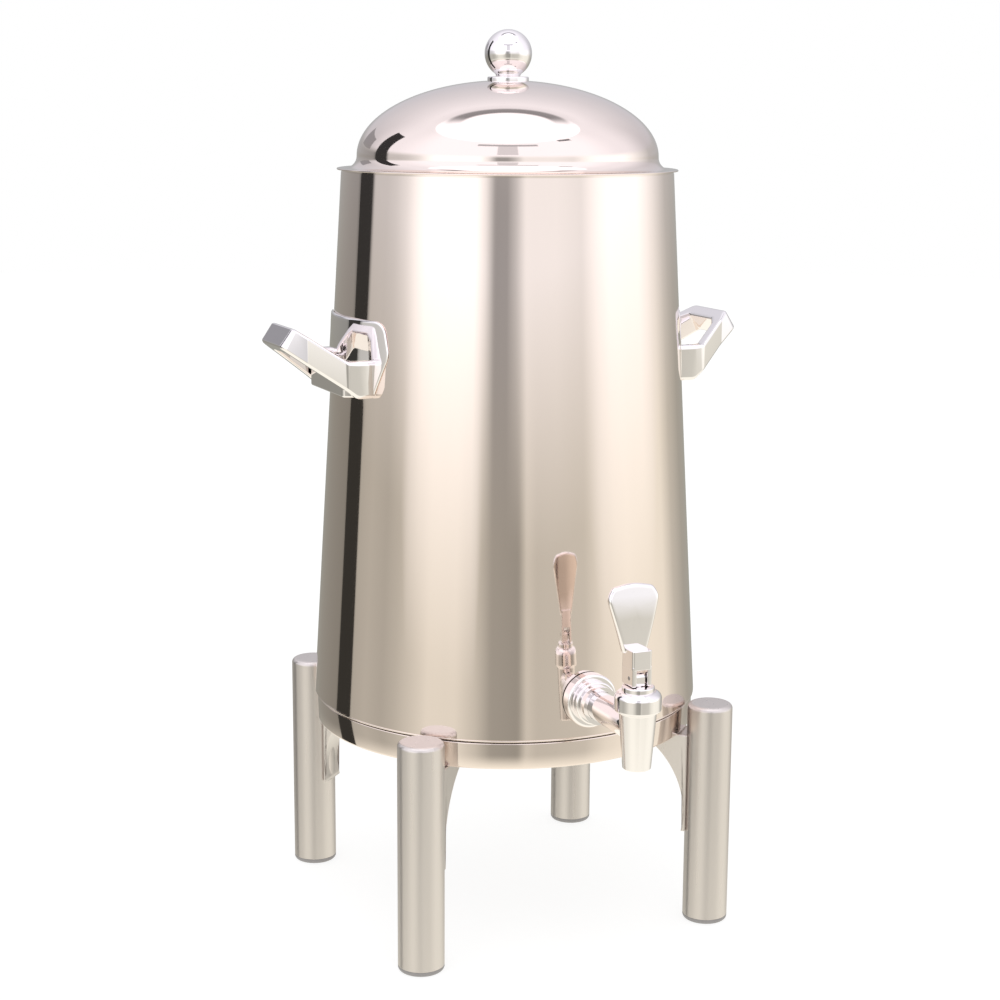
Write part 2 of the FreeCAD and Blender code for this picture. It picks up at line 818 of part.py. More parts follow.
def valve_stem():
    """A rod with a collar for the spring and a flat head for the lever's pin."""
    head_low = bonnet_top_z + stem_head_gap
    rod = tap_cylinder(stem_r, seat_z + stem_foot_inset, pin_z)
    collar = tap_cylinder(stem_collar_r, seat_z + cup_height, collar_top_z())
    head = Part.makeBox(stem_head_width, stem_head_depth, pin_z - head_low)
    head.translate(V(-stem_head_width / 2, -tap_axis_r - stem_head_depth / 2, head_low))
    crown = Part.makeCylinder(
        stem_head_depth / 2, stem_head_width, V(-stem_head_width / 2, -tap_axis_r, pin_z), V(1, 0, 0)
    )
    stem = rod.fuse(collar).fuse(head).fuse(crown).removeSplitter()
    return stem.cut(cross_bar(pin_r + pin_clearance, fork_width))


def cross_bar(r, length):
    return Part.makeCylinder(r, length, V(-length / 2, -tap_axis_r, pin_z), V(1, 0, 0))


def seat_cup():
    cup = tap_cylinder(cup_r, seat_z, seat_z + cup_height)
    return cup.cut(tap_cylinder(stem_r, seat_z + stem_foot_inset, seat_z + cup_height))


def valve_spring():
    """The room that the coil spring fills between the stem's collar and the bonnet."""
    low = collar_top_z()
    high = bonnet_bottom_z()
    sleeve = tap_cylinder(spring_coil_r + spring_wire_r, low, high)
    return sleeve.cut(tap_cylinder(spring_coil_r - spring_wire_r, low, high))


def lever_pin():
    return cross_bar(pin_r, fork_width)


def paddle_outline():
    """Half of the paddle's outline: sideways and height above the fork."""
    half_low = paddle_bottom_width / 2
    half_top = paddle_top_width / 2
    shoulder = paddle_height - paddle_shoulder_drop
    return half_low, half_top, shoulder


def tap_lever():
    """A fork over the stem's head, which rises into a flat fan-shaped paddle."""
    low = bonnet_top_z + fork_lift_gap
    top = bonnet_top_z + fork_height
    fork = Part.makeBox(fork_width, fork_depth, top - low)
    fork.translate(V(-fork_width / 2, -tap_axis_r - fork_front, low))
    fork = fork.makeFillet(fork_edge_fillet, [e for e in fork.Edges if e.BoundBox.ZLength > fork_edge_fillet])
    slot = Part.makeBox(fork_slot_width, fork_depth, fork_slot_height)
    slot.translate(V(-fork_slot_width / 2, -tap_axis_r - fork_front, low))
    half_low, half_top, shoulder = paddle_outline()
    front = paddle_setback - tap_axis_r - paddle_thickness / 2
    root = top - paddle_root_depth
    corner_z = top + paddle_height - paddle_crown * paddle_corner_drop
    left_low = V(-half_low, front, root)
    left_high = V(-half_top, front, top + shoulder)
    right_high = V(half_top, front, top + shoulder)
    right_low = V(half_low, front, root)
    crown = V(0, front, top + paddle_height)
    corner = V(half_top * paddle_corner_out, front, corner_z)
    other_corner = V(-half_top * paddle_corner_out, front, corner_z)
    edges = [
        Part.makeLine(right_low, right_high),
        Part.makeLine(right_high, corner),
        Part.Arc(corner, crown, other_corner).toShape(),
        Part.makeLine(other_corner, left_high),
        Part.makeLine(left_high, left_low),
        Part.makeLine(left_low, right_low),
    ]
    paddle = Part.Face(Part.Wire(edges)).extrude(V(0, paddle_thickness, 0))
    lever = fork.fuse(paddle).removeSplitter().cut(slot)
    return lever.cut(cross_bar(pin_r, fork_width))


def build():
    save("stand_ring", stand_ring())
    save("stand_shelf", stand_shelf())
    for place, azimuth in leg_places.items():
        save("leg_" + place, leg(azimuth))
        save("leg_bracket_" + place, leg_bracket(azimuth))
    save("leg_feet", Part.makeCompound([leg_foot(azimuth) for azimuth in leg_places.values()]))
    save("bracket_screws", bracket_screws())
    save("base_pan", base_pan())
    save("base_bolts", base_bolts())
    save("base_nuts", base_nuts())
    save("outer_shell", outer_shell())
    save("inner_tank", inner_tank())
    save("insulation_jacket", insulation_jacket())
    save("rim_ring", rim_ring())
    save("lid_shell", lid_shell())
    save("lid_liner", lid_liner())
    save("knob_collar", knob_collar())
    save("knob_ball", knob_ball())
    save("knob_washer", knob_washer())
    save("knob_screw", knob_screw())
    for side, azimuth in handle_azimuths.items():
        save("handle_" + side, handle(azimuth))
        save("handle_backing_" + side, handle_backing(azimuth))
    save("handle_studs", handle_studs())
    save("handle_nuts", handle_nuts())
    save("tank_outlet", tank_outlet())
    save("tap_shank", tap_shank())
    save("tap_gasket", tap_gasket())
    save("tap_flange", tap_flange())
    save("tap_coupling_nut", tap_coupling_nut())
    save("tap_body", tap_body())
    save("tap_bonnet", tap_bonnet())
    save("valve_stem", valve_stem())
    save("seat_cup", seat_cup())
    save("valve_spring", valve_spring())
    save("tap_lever", tap_lever())
    save("lever_pin", lever_pin())


build()
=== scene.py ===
import json
import math

import bpy
import numpy as np
from mathutils import Matrix, Vector


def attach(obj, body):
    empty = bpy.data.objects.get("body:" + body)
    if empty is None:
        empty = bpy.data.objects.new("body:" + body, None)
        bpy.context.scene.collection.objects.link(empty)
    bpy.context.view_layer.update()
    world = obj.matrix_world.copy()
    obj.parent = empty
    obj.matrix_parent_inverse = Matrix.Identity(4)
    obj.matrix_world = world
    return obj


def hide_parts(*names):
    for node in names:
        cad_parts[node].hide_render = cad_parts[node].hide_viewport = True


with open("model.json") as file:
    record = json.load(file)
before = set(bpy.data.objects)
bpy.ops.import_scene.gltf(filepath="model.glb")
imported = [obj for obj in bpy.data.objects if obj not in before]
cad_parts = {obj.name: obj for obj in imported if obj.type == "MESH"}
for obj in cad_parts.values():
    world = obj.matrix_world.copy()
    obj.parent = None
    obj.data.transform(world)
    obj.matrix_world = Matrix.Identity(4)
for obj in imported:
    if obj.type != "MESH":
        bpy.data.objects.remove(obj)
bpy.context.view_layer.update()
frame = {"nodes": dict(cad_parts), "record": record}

bl_info = {
    "name": "Coffee Urn",
    "version": (1, 0, 0),
    "blender": (4, 5, 0),
    "location": "3D View > Sidebar > Urn",
    "description": "Dresses the coffee urn's frame with polished steel, chrome and its studio",
    "category": "Add Mesh",
}

MM = 0.001
CAMERA_TURN = math.radians(24.2)


# Finishes
# Stands before the names of the urn's own materials, since the frame has some with the slots' names
OWN = "urn_"
GRAIN_DETAIL = 3.0
# How far the roughness drifts from its middle, over a metal's grain and over a moulded skin
METAL_DRIFT, MOULDED_DRIFT = 0.25, 0.1
# The pebbles of a moulded skin: shade of the hollows, strength and depth in metres
PEBBLE_SHADE, PEBBLE_STRENGTH, PEBBLE_DEPTH = 0.8, 0.15, 0.0002


def new_material(name):
    material = bpy.data.materials.new(OWN + name)
    material.use_nodes = True
    nodes = material.node_tree.nodes
    nodes.clear()
    shader = nodes.new("ShaderNodeBsdfPrincipled")
    output = nodes.new("ShaderNodeOutputMaterial")
    material.node_tree.links.new(shader.outputs["BSDF"], output.inputs["Surface"])
    return material, shader


def add_node(material, kind, **values):
    node = material.node_tree.nodes.new(kind)
    for key, value in values.items():
        setattr(node, key, value)
    return node


def link(material, source, target):
    material.node_tree.links.new(source, target)


def object_noise(material, scale, stretch):
    """Noise on object coordinates, squeezed or drawn out along each axis."""
    coordinates = add_node(material, "ShaderNodeTexCoord")
    mapping = add_node(material, "ShaderNodeMapping")
    mapping.inputs["Scale"].default_value = stretch
    link(material, coordinates.outputs["Object"], mapping.inputs["Vector"])
    noise = add_node(material, "ShaderNodeTexNoise")
    noise.inputs["Scale"].default_value = scale
    noise.inputs["Detail"].default_value = GRAIN_DETAIL
    link(material, mapping.outputs["Vector"], noise.inputs["Vector"])
    return noise.outputs["Fac"]


def ranged(material, value, low, high):
    """Carry a 0 to 1 value to the range low to high."""
    spread = add_node(material, "ShaderNodeMapRange")
    spread.inputs["To Min"].default_value = low
    spread.inputs["To Max"].default_value = high
    link(material, value, spread.inputs["Value"])
    return spread.outputs["Result"]


def tinted(material, value, first, second):
    """Blend two colours by a 0 to 1 value."""
    blend = add_node(material, "ShaderNodeMix", data_type="RGBA")
    blend.inputs["A"].default_value = (*first, 1.0)
    blend.inputs["B"].default_value = (*second, 1.0)
    link(material, value, blend.inputs["Factor"])
    return blend.outputs["Result"]


def metal(name, colour, roughness, grain, stretch, grain_scale, share=1.0):
    """A metal whose tint and gloss drift slightly with the grain of its polish."""
    material, shader = new_material(name)
    shader.inputs["Metallic"].default_value = share
    fac = object_noise(material, grain_scale, stretch)
    darker = tuple(c * (1.0 - grain) for c in colour)
    link(material, tinted(material, fac, darker, colour), shader.inputs["Base Color"])
    low, high = roughness * (1.0 - METAL_DRIFT), roughness * (1.0 + METAL_DRIFT)
    link(material, ranged(material, fac, low, high), shader.inputs["Roughness"])
    return material


def moulded(name, colour, roughness, grain_scale=900.0):
    """Plastic, rubber or foam with a fine pebbled skin."""
    material, shader = new_material(name)
    fac = object_noise(material, grain_scale, (1.0, 1.0, 1.0))
    darker = tuple(c * PEBBLE_SHADE for c in colour)
    link(material, tinted(material, fac, darker, colour), shader.inputs["Base Color"])
    low, high = roughness * (1.0 - MOULDED_DRIFT), roughness * (1.0 + MOULDED_DRIFT)
    link(material, ranged(material, fac, low, high), shader.inputs["Roughness"])
    relief = add_node(material, "ShaderNodeBump")
    relief.inputs["Strength"].default_value = PEBBLE_STRENGTH
    relief.inputs["Distance"].default_value = PEBBLE_DEPTH
    link(material, fac, relief.inputs["Height"])
    link(material, relief.outputs["Normal"], shader.inputs["Normal"])
    return material


def polish(name, about, roughness):
    return bpy.props.FloatProperty(
        name=name, description=about, default=roughness, min=0.0, max=1.0, subtype="FACTOR",
    )


def tint(name, about, colour):
    return bpy.props.FloatVectorProperty(
        name=name, description=about, subtype="COLOR", default=colour, min=0.0, max=1.0,
    )


def angle(name, about, radians):
    return bpy.props.FloatProperty(
        name=name, description=about, subtype="ANGLE", unit="ROTATION", default=radians,
    )


class UrnFinish(bpy.types.PropertyGroup):
    steel_colour: tint("Steel", "Tint of the polished body and lid", (0.88, 0.77, 0.71))
    leg_colour: tint("Legs", "Tint of the brushed legs", (0.72, 0.665, 0.63))
    chrome_colour: tint("Chrome", "Tint of the handles, knob and tap", (0.93, 0.885, 0.88))
    steel_roughness: polish("Polish", "Roughness of the polished steel", 0.05)
    leg_roughness: polish("Leg polish", "Roughness of the brushed legs", 0.3)
    chrome_roughness: polish("Chrome polish", "Roughness of the chrome", 0.04)


class URN_OT_finishes(bpy.types.Operator):
    """Give each frame node its finish"""

    bl_idname = "urn.finishes"
    bl_label = "Finishes"

    def execute(self, context):
        finish = context.scene.urn_finish
        brushed = metal(
            "brushed_legs", tuple(finish.leg_colour), finish.leg_roughness,
            grain=0.03, stretch=(1, 1, 0.02), grain_scale=220, share=0.85,
        )
        by_slot = {
            "polished_steel": metal(
                "polished_steel", tuple(finish.steel_colour), finish.steel_roughness,
                grain=0.03, stretch=(1, 1, 0.08), grain_scale=60,
            ),
            "chrome": metal(
                "chrome", tuple(finish.chrome_colour), finish.chrome_roughness,
                grain=0.02, stretch=(1, 1, 1), grain_scale=90,
            ),
            "satin_steel": metal(
                "satin_steel", (0.55, 0.53, 0.52), roughness=0.32,
                grain=0.15, stretch=(1, 1, 0.05), grain_scale=300,
            ),
            "screw_steel": metal(
                "screw_steel", (0.45, 0.45, 0.46), roughness=0.3,
                grain=0.2, stretch=(1, 1, 1), grain_scale=500,
            ),
            "silicone": moulded("silicone", (0.72, 0.70, 0.66), roughness=0.5),
            "foam": moulded("foam", (0.80, 0.74, 0.50), roughness=0.9, grain_scale=400.0),
            "foot_plastic": moulded("foot_plastic", (0.36, 0.34, 0.33), roughness=0.55),
        }
        slots = {piece["node"]: piece["material_slot"] for piece in frame["record"]["subparts"]}
        for name, node in frame["nodes"].items():
            material = brushed if name.startswith("leg_") and name != "leg_feet" else by_slot[slots[name]]
            node.data.materials.clear()
            node.data.materials.append(material)
        return {"FINISHED"}


# Surfaces
# Whether a grid's first row is a pole, its last row is a pole, and its last row meets its first
POLES = (True, True, False)
RING = (False, False, True)
# How far a plate's flat faces are drawn in toward their middle, ring by ring
CAP_SHARES = (0.0, 0.2, 0.4, 0.6, 0.78, 0.92)
# Rows in a quarter turn of a plate's edge
EDGE_STEPS = 6
# An arc at a corner takes up to this share of each side
SIDE_SHARE = 0.49
# Longest side of an outline that is bent, in millimetres
LONGEST_SIDE = 3.0
# The body's lower edge, in millimetres, and how fast its radius shrinks with height
BODY_LOW_Z, BODY_LOW_R, BODY_TAPER = 173.2, 150.4, 24.3 / 402.0
# Points round a turned piece
FINE, MIDDLING, COARSE = 256, 96, 72


def body_r(z):
    """Radius of the body's skin at a height."""
    return BODY_LOW_R - BODY_TAPER * (z - BODY_LOW_Z)


def length(name, about, size):
    """A length property, from its size in millimetres."""
    return bpy.props.FloatProperty(
        name=name, description=about, default=size * MM, min=0.0, unit="LENGTH", subtype="DISTANCE",
    )


def millimetres(group):
    """The group's lengths, in millimetres."""
    names = [name for name in group.bl_rna.properties.keys() if name not in ("rna_type", "name")]
    return {name: getattr(group, name) / MM for name in names}


def finish_named(name):
    return bpy.data.materials[OWN + name]


def closed_rows(grid, start_pole, end_pole, ring):
    """Faces of a grid whose rows are closed rings; a pole row is one point."""
    rows, columns = grid.shape[:2]
    index = np.arange(rows * columns).reshape(rows, columns)
    if ring:
        index = np.vstack([index, index[:1]])
    low, high = index[:-1], index[1:]
    quads = np.stack([low, np.roll(low, -1, 1), np.roll(high, -1, 1), high], axis=-1)
    faces = []
    if start_pole:
        tip = np.full(columns, index[0, 0])
        faces += np.stack([tip, quads[0, :, 2], quads[0, :, 3]], axis=-1).tolist()
        quads = quads[1:]
    if end_pole:
        tip = np.full(columns, index[-1, 0])
        faces += np.stack([quads[-1, :, 0], quads[-1, :, 1], tip], axis=-1).tolist()
        quads = quads[:-1]
    return faces + quads.reshape(-1, 4).tolist()


def skin(name, parts, body, node_names, material, flat_faces=True):
    """Join the parts, each a grid in millimetres with its closures, into one finished object."""
    points, faces, count = [], [], 0
    for grid, closure in parts:
        grid = np.array(grid, dtype=float)
        start_pole, end_pole, ring = closure
        if start_pole:
            grid[0] = grid[0].mean(axis=0)
        if end_pole:
            grid[-1] = grid[-1].mean(axis=0)
        new = closed_rows(grid, start_pole, end_pole, ring)
        flat = grid.reshape(-1, 3)
        if enclosed(flat, new) < 0:
            new = [face[::-1] for face in new]
        points.append(flat)
        faces += [[corner + count for corner in face] for face in new]
        count += len(flat)
    points = np.vstack(points)
    used, compact = np.unique(np.concatenate([np.array(face) for face in faces]), return_inverse=True)
    ends = np.cumsum([len(face) for face in faces])[:-1]
    faces = [part.tolist() for part in np.split(compact, ends)]
    mesh = bpy.data.meshes.new(name)
    mesh.from_pydata((points[used] * MM).tolist(), [], faces)
    mesh.shade_smooth()
    mesh.materials.append(material)
    piece = bpy.data.objects.new(name, mesh)
    bpy.context.collection.objects.link(piece)
    if flat_faces:
        weights = piece.modifiers.new("flat_faces", "WEIGHTED_NORMAL")
        weights.weight = 100
    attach(piece, body)
    if node_names:
        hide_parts(*node_names)


def enclosed(points, faces):
    """Six times the volume inside the faces, negative where they face inward."""
    corners = np.array([face[:3] for face in faces])
    first = points[corners]
    total = np.einsum("ij,ij->i", first[:, 0], np.cross(first[:, 1], first[:, 2])).sum()
    quads = np.array([[face[0], face[2], face[3]] for face in faces if len(face) == 4])
    if len(quads):
        second = points[quads]
        total += np.einsum("ij,ij->i", second[:, 0], np.cross(second[:, 1], second[:, 2])).sum()
    return total


def rounded(points, radii, steps=7, closed=True):
    """Round the corners of a line of points: each becomes an arc of its radius that meets both sides."""
    points = np.asarray(points, dtype=float)
    count = len(points)
    out = []
    share = np.linspace(0.0, 1.0, steps)[:, None]
    for place in range(count):
        here = points[place]
        if not closed and place in (0, count - 1):
            out.append(here[None])
            continue
        before = points[place - 1] - here
        after = points[(place + 1) % count] - here
        before_length, after_length = np.linalg.norm(before), np.linalg.norm(after)
        before, after = before / before_length, after / after_length
        half = 0.5 * math.acos(np.clip(before @ after, -1.0, 1.0))
        reach = min(radii[place] / math.tan(half), SIDE_SHARE * before_length, SIDE_SHARE * after_length)
        middle = here + (before + after) / np.linalg.norm(before + after) * reach / math.cos(half)
        start, end = here + before * reach - middle, here + after * reach - middle
        sweep = math.pi - 2.0 * half
        arc = (np.sin((1 - share) * sweep) * start + np.sin(share * sweep) * end) / math.sin(sweep)
        out.append(middle + arc)
    return np.vstack(out)


def turned(profile, steps, centre=(0.0, 0.0)):
    """Turn (radius, height) points about an upright axis: x is radius times cosine, y radius times sine."""
    profile = np.asarray(profile, dtype=float)
    angle = np.linspace(0.0, math.tau, steps, endpoint=False)
    x = profile[:, :1] * np.cos(angle) + centre[0]
    y = profile[:, :1] * np.sin(angle) + centre[1]
    z = np.repeat(profile[:, 1:], steps, axis=1)
    return np.stack([x, y, z], axis=-1)


def outward(grid, height):
    """Lay a piece turned about Z down, so that its axis points out from the urn on the tap's side."""
    return np.stack([grid[..., 0], -grid[..., 2], grid[..., 1] + height], axis=-1)


def spun(grid, azimuth):
    """Turn points about the urn's axis from the tap's side, towards +X."""
    angle = math.radians(azimuth)
    x, y = grid[..., 0], grid[..., 1]
    across = x * math.cos(angle) - y * math.sin(angle)
    along = x * math.sin(angle) + y * math.cos(angle)
    return np.stack([across, along, grid[..., 2]], axis=-1)


def plate(outline, depth, edge, middle=None):
    """A plate with rounded edges: rings of the outline, drawn in along its normal by edge times (1 - sine)
    while they rise by edge times (1 - cosine), then rings that shrink to the middle of each flat face."""
    outline = np.asarray(outline, dtype=float)
    along = np.roll(outline, -1, axis=0) - np.roll(outline, 1, axis=0)
    along /= np.linalg.norm(along, axis=1, keepdims=True)
    inward = np.stack([-along[:, 1], along[:, 0]], axis=1)
    area = np.sum(outline[:, 0] * np.roll(outline[:, 1], -1) - outline[:, 1] * np.roll(outline[:, 0], -1))
    inward *= np.sign(area)
    middle = outline.mean(axis=0) if middle is None else np.asarray(middle, dtype=float)
    angle = np.linspace(0.0, math.pi / 2, EDGE_STEPS)
    drawn_in = edge * (1.0 - np.sin(angle))
    rise = edge * (1.0 - np.cos(angle))
    heights = np.concatenate([rise, depth - rise[::-1]])
    insets = np.concatenate([drawn_in, drawn_in[::-1]])
    rings = []
    for inset, height in zip(insets, heights):
        level = np.full((len(outline), 1), height)
        rings.append(np.concatenate([outline + inward * inset, level], axis=1))
    first, last = [], []
    for share in CAP_SHARES:
        for cap, ring in ((first, rings[0]), (last, rings[-1])):
            drawn = ring.copy()
            drawn[:, :2] = middle + (ring[:, :2] - middle) * share
            cap.append(drawn)
    return np.stack([*first, *rings, *last[::-1]])


# Handles
LOOP_SLOPE = math.radians(35.5)
# The plate's thickness at its widest is less than at its middle by this share
PLATE_THINNING = 0.8
# Share of the loop's section that its rounded edges take, across the band and up it
BAND_ROUNDING = (0.26, 0.12)
BEND_STEPS, BAND_STEPS, PLATE_STEPS, PAD_BACK_STEPS = 5, 6, 8, 17
HANDLE_SIDES = (("left", 270.0), ("right", 90.0))


class HandleSizes(bpy.types.PropertyGroup):
    low: length("Underside", "Height of the handles' feet", 415.0)
    plate_height: length("Plate height", "Height of the plate on the body", 56.0)
    plate_low: length("Plate foot", "Half width of the plate's lower edge", 47.5)
    plate_middle: length("Plate middle", "Half width of the plate where it is widest", 60.0)
    plate_high: length("Plate head", "Half width of the plate's upper edge", 54.0)
    plate_rise: length("Plate rise", "Height of the plate's widest place above its foot", 32.0)
    plate_depth: length("Plate depth", "Thickness of the plate", 3.4)
    foot_round: length("Plate foot rounding", "Corner radius at the plate's foot", 4.0)
    middle_round: length("Plate middle rounding", "Corner radius at the plate's widest place", 14.0)
    head_round: length("Plate head rounding", "Corner radius at the plate's head", 11.0)
    pad_face: length("Pad face", "Distance of the foot's face from the axis", 147.0)
    pad_half: length("Pad half width", "Half width of the foot's face", 36.0)
    pad_back: length("Pad back", "Half width of the foot at the plate", 46.0)
    pad_height: length("Pad height", "Height of the foot", 24.0)
    pad_middle: length("Pad middle", "From the foot's face back to the middle of its flat sides", 5.0)
    pad_round: length("Pad rounding", "Corner radius of the foot", 3.0)
    skin_gap: length("Skin gap", "Gap between the casting's ends and the body's skin", 0.3)
    root_half: length("Root half", "Half width over the loop at the body", 49.0)
    root_inside: length("Root inside", "Half width inside the loop at the body", 40.0)
    neck_out: length("Neck", "Distance of the loop's neck from the skin", 4.0)
    neck_half: length("Neck half", "Half width over the loop at its neck", 49.4)
    knee_rise: length("Knee", "Height of the knee above the feet", 6.0)
    knee_half: length("Knee half", "Half width over the loop at the knee", 49.3)
    knee_inside: length("Knee inside", "Half width inside the loop at the knee", 37.5)
    bend: length("Bend", "Distance of the bend from the axis", 172.0)
    bend_half: length("Bend half", "Half width over the loop at the bend", 33.0)
    bend_inside: length("Bend inside", "Half width inside the loop at the bend", 25.0)
    bend_wall: length("Bend wall", "From the bend's outside to its inside", 5.0)
    grip: length("Grip", "Distance of the grip from the axis", 190.5)
    grip_half: length("Grip half", "Half width over the loop at the grip", 25.0)
    grip_inside: length("Grip inside", "Half width inside the loop at the grip", 17.0)
    grip_wall: length("Grip wall", "From the grip's outside to its inside", 9.5)
    outer_round: length("Outer rounding", "Radius of the loop's corners outside", 7.0)
    inner_round: length("Inner rounding", "Radius of the loop's corners inside", 5.0)
    strap: length("Strap", "Height of the loop's band across its slope", 17.5)
    edge: length("Edge", "Rounding of the casting's edges", 1.6)


def on_body(sizes, across, height):
    """Distance out to the body's skin, at a distance sideways from the handle's middle."""
    return np.sqrt((body_r(height) + sizes["skin_gap"]) ** 2 - across ** 2)


def loop_stations(sizes):
    """The four long edges of the loop, as (distance out, sideways, up), from one root to the middle."""
    low, face, strap = sizes["low"], sizes["pad_face"], sizes["strap"]
    knee = low + sizes["knee_rise"]
    rise = strap / math.cos(LOOP_SLOPE)
    neck = body_r(low) + sizes["neck_out"]
    edges = {"outer_low": [], "outer_high": [], "inner_high": [], "inner_low": []}
    for name, across in (("outer", sizes["root_half"]), ("inner", sizes["root_inside"])):
        for edge, height in (("_low", low), ("_high", knee + rise)):
            edges[name + edge].append((on_body(sizes, across, height), across, height))
        half = sizes["neck_half"] if name == "outer" else across
        edges[name + "_low"].append((neck, half, low))
        edges[name + "_high"].append((neck, half, knee + rise))
    sloping = (
        ("outer", face, sizes["knee_half"]),
        ("inner", face, sizes["knee_inside"]),
        ("outer", sizes["bend"], sizes["bend_half"]),
        ("inner", sizes["bend"] - sizes["bend_wall"], sizes["bend_inside"]),
    )
    for name, distance, across in sloping:
        bottom = knee + (distance - face) * math.tan(LOOP_SLOPE)
        edges[name + "_low"].append((distance, across, bottom))
        edges[name + "_high"].append((distance, across, bottom + rise))
    ends = (
        ("outer", sizes["grip"], sizes["grip_half"]),
        ("inner", sizes["grip"] - sizes["grip_wall"], sizes["grip_inside"]),
    )
    for name, distance, across in ends:
        bottom = knee + (distance - face) * math.tan(LOOP_SLOPE)
        back, up = strap * math.sin(LOOP_SLOPE), strap * math.cos(LOOP_SLOPE)
        edges[name + "_low"].append((distance, across, bottom))
        edges[name + "_high"].append((distance - back, across, bottom + up))
    return edges


def handle_loop(sizes):
    """A six-sided loop: each point of a rounded section is a blend, by its share across and its share up, of
    the four long edges, and the section runs along them."""
    lines = {}
    for name, half in loop_stations(sizes).items():
        half = np.array(half)
        other = half[::-1] * np.array([1.0, -1.0, 1.0])
        whole = np.vstack([half, other])
        radius = sizes["outer_round"] if name.startswith("outer") else sizes["inner_round"]
        lines[name] = rounded(whole, [radius] * len(whole), steps=BEND_STEPS, closed=False)
    corner = np.linspace(0.0, math.pi / 2, BAND_STEPS)
    across_share, up_share = BAND_ROUNDING
    quarter = np.stack([np.cos(corner), np.sin(corner)], axis=1)
    ring = []
    for turn, (a, b) in enumerate(((1, 1), (0, 1), (0, 0), (1, 0))):
        angle = turn * math.pi / 2
        c, s = round(math.cos(angle)), round(math.sin(angle))
        spin = quarter @ np.array([[c, s], [-s, c]])
        centre = np.array([across_share + a * (1 - 2 * across_share), up_share + b * (1 - 2 * up_share)])
        ring.append(centre + spin * np.array([across_share, up_share]))
    ring = np.vstack(ring)
    a, b = ring[:, 0][None, :, None], ring[:, 1][None, :, None]
    low = lines["inner_low"][:, None] * (1 - a) + lines["outer_low"][:, None] * a
    high = lines["inner_high"][:, None] * (1 - a) + lines["outer_high"][:, None] * a
    loft = low * (1 - b) + high * b
    loft = np.concatenate([loft[:1], loft, loft[-1:]])
    return np.stack([loft[..., 1], -loft[..., 0], loft[..., 2]], axis=-1)


def handle_plate(sizes):
    """A flat plate bent round the body: its distance sideways over the body's radius is the sine of its
    angle round the body."""
    low, wide, depth = sizes["low"], sizes["plate_middle"], sizes["plate_depth"]
    top, middle = low + sizes["plate_height"], low + sizes["plate_rise"]
    right = [(sizes["plate_low"], low), (wide, middle), (sizes["plate_high"], top)]
    left = [(-across, up) for across, up in right[::-1]]
    radii = [sizes["foot_round"], sizes["middle_round"], sizes["head_round"]]
    corners, radii = left[-1:] + right + left[:-1], radii[:1] + radii + radii[:0:-1]
    outline = finer(rounded(corners, radii, steps=PLATE_STEPS))
    flat = plate(outline, depth, sizes["edge"], middle=(0.0, low + sizes["plate_height"] / 2))
    across, up, thick = flat[..., 0], flat[..., 1], flat[..., 2]
    around = np.arcsin(across / body_r(up))
    out = body_r(up) + thick * (1.0 - PLATE_THINNING * (across / wide) ** 2)
    return np.stack([out * np.sin(around), -out * np.cos(around), up], axis=-1)


def handle_foot(sizes):
    """A block with a flat front face and sloping sides, hollow behind to the body's round."""
    low, half, face, back_half = sizes["low"], sizes["pad_half"], sizes["pad_face"], sizes["pad_back"]
    behind = on_body(sizes, back_half, low)
    front = rounded(
        [(-back_half, behind), (-half, face), (half, face), (back_half, behind)],
        [sizes["pad_round"]] * 4, closed=False,
    )
    across = np.linspace(back_half, -back_half, PAD_BACK_STEPS)[1:-1]
    plan = np.vstack([front, np.stack([across, on_body(sizes, across, low)], axis=1)])
    block = plate(plan, sizes["pad_height"], sizes["edge"], middle=(0.0, face - sizes["pad_middle"]))
    return np.stack([block[..., 0], -block[..., 1], low + block[..., 2]], axis=-1)


def finer(outline):
    """Add points along the long sides of a closed outline."""
    following = np.roll(outline, -1, axis=0)
    out = []
    for start, end in zip(outline, following):
        pieces = max(1, int(np.linalg.norm(end - start) // LONGEST_SIDE))
        share = np.linspace(0.0, 1.0, pieces, endpoint=False)[:, None]
        out.append(start + (end - start) * share)
    return np.vstack(out)


class URN_OT_handles(bpy.types.Operator):
    """Make both handle castings: plate, foot and loop with rounded edges"""

    bl_idname = "urn.handles"
    bl_label = "Handles"

    def execute(self, context):
        sizes = millimetres(context.scene.urn_handles)
        grids = (handle_plate(sizes), handle_foot(sizes), handle_loop(sizes))
        chrome = finish_named("chrome")
        for side, azimuth in HANDLE_SIDES:
            parts = [(spun(grid, azimuth), POLES) for grid in grids]
            skin("handle_" + side + "_casting", parts, "urn", ["handle_" + side], chrome)
        return {"FINISHED"}


# Lid and knob
LIP_STEPS, FLARE_STEPS, DOME_STEPS, BALL_STEPS = 9, 14, 90, 60
# Corner radii of the disc's profile, from below to the neck
DISC_ROUNDING = (0.4, 0.4, 1.0, 0.4)


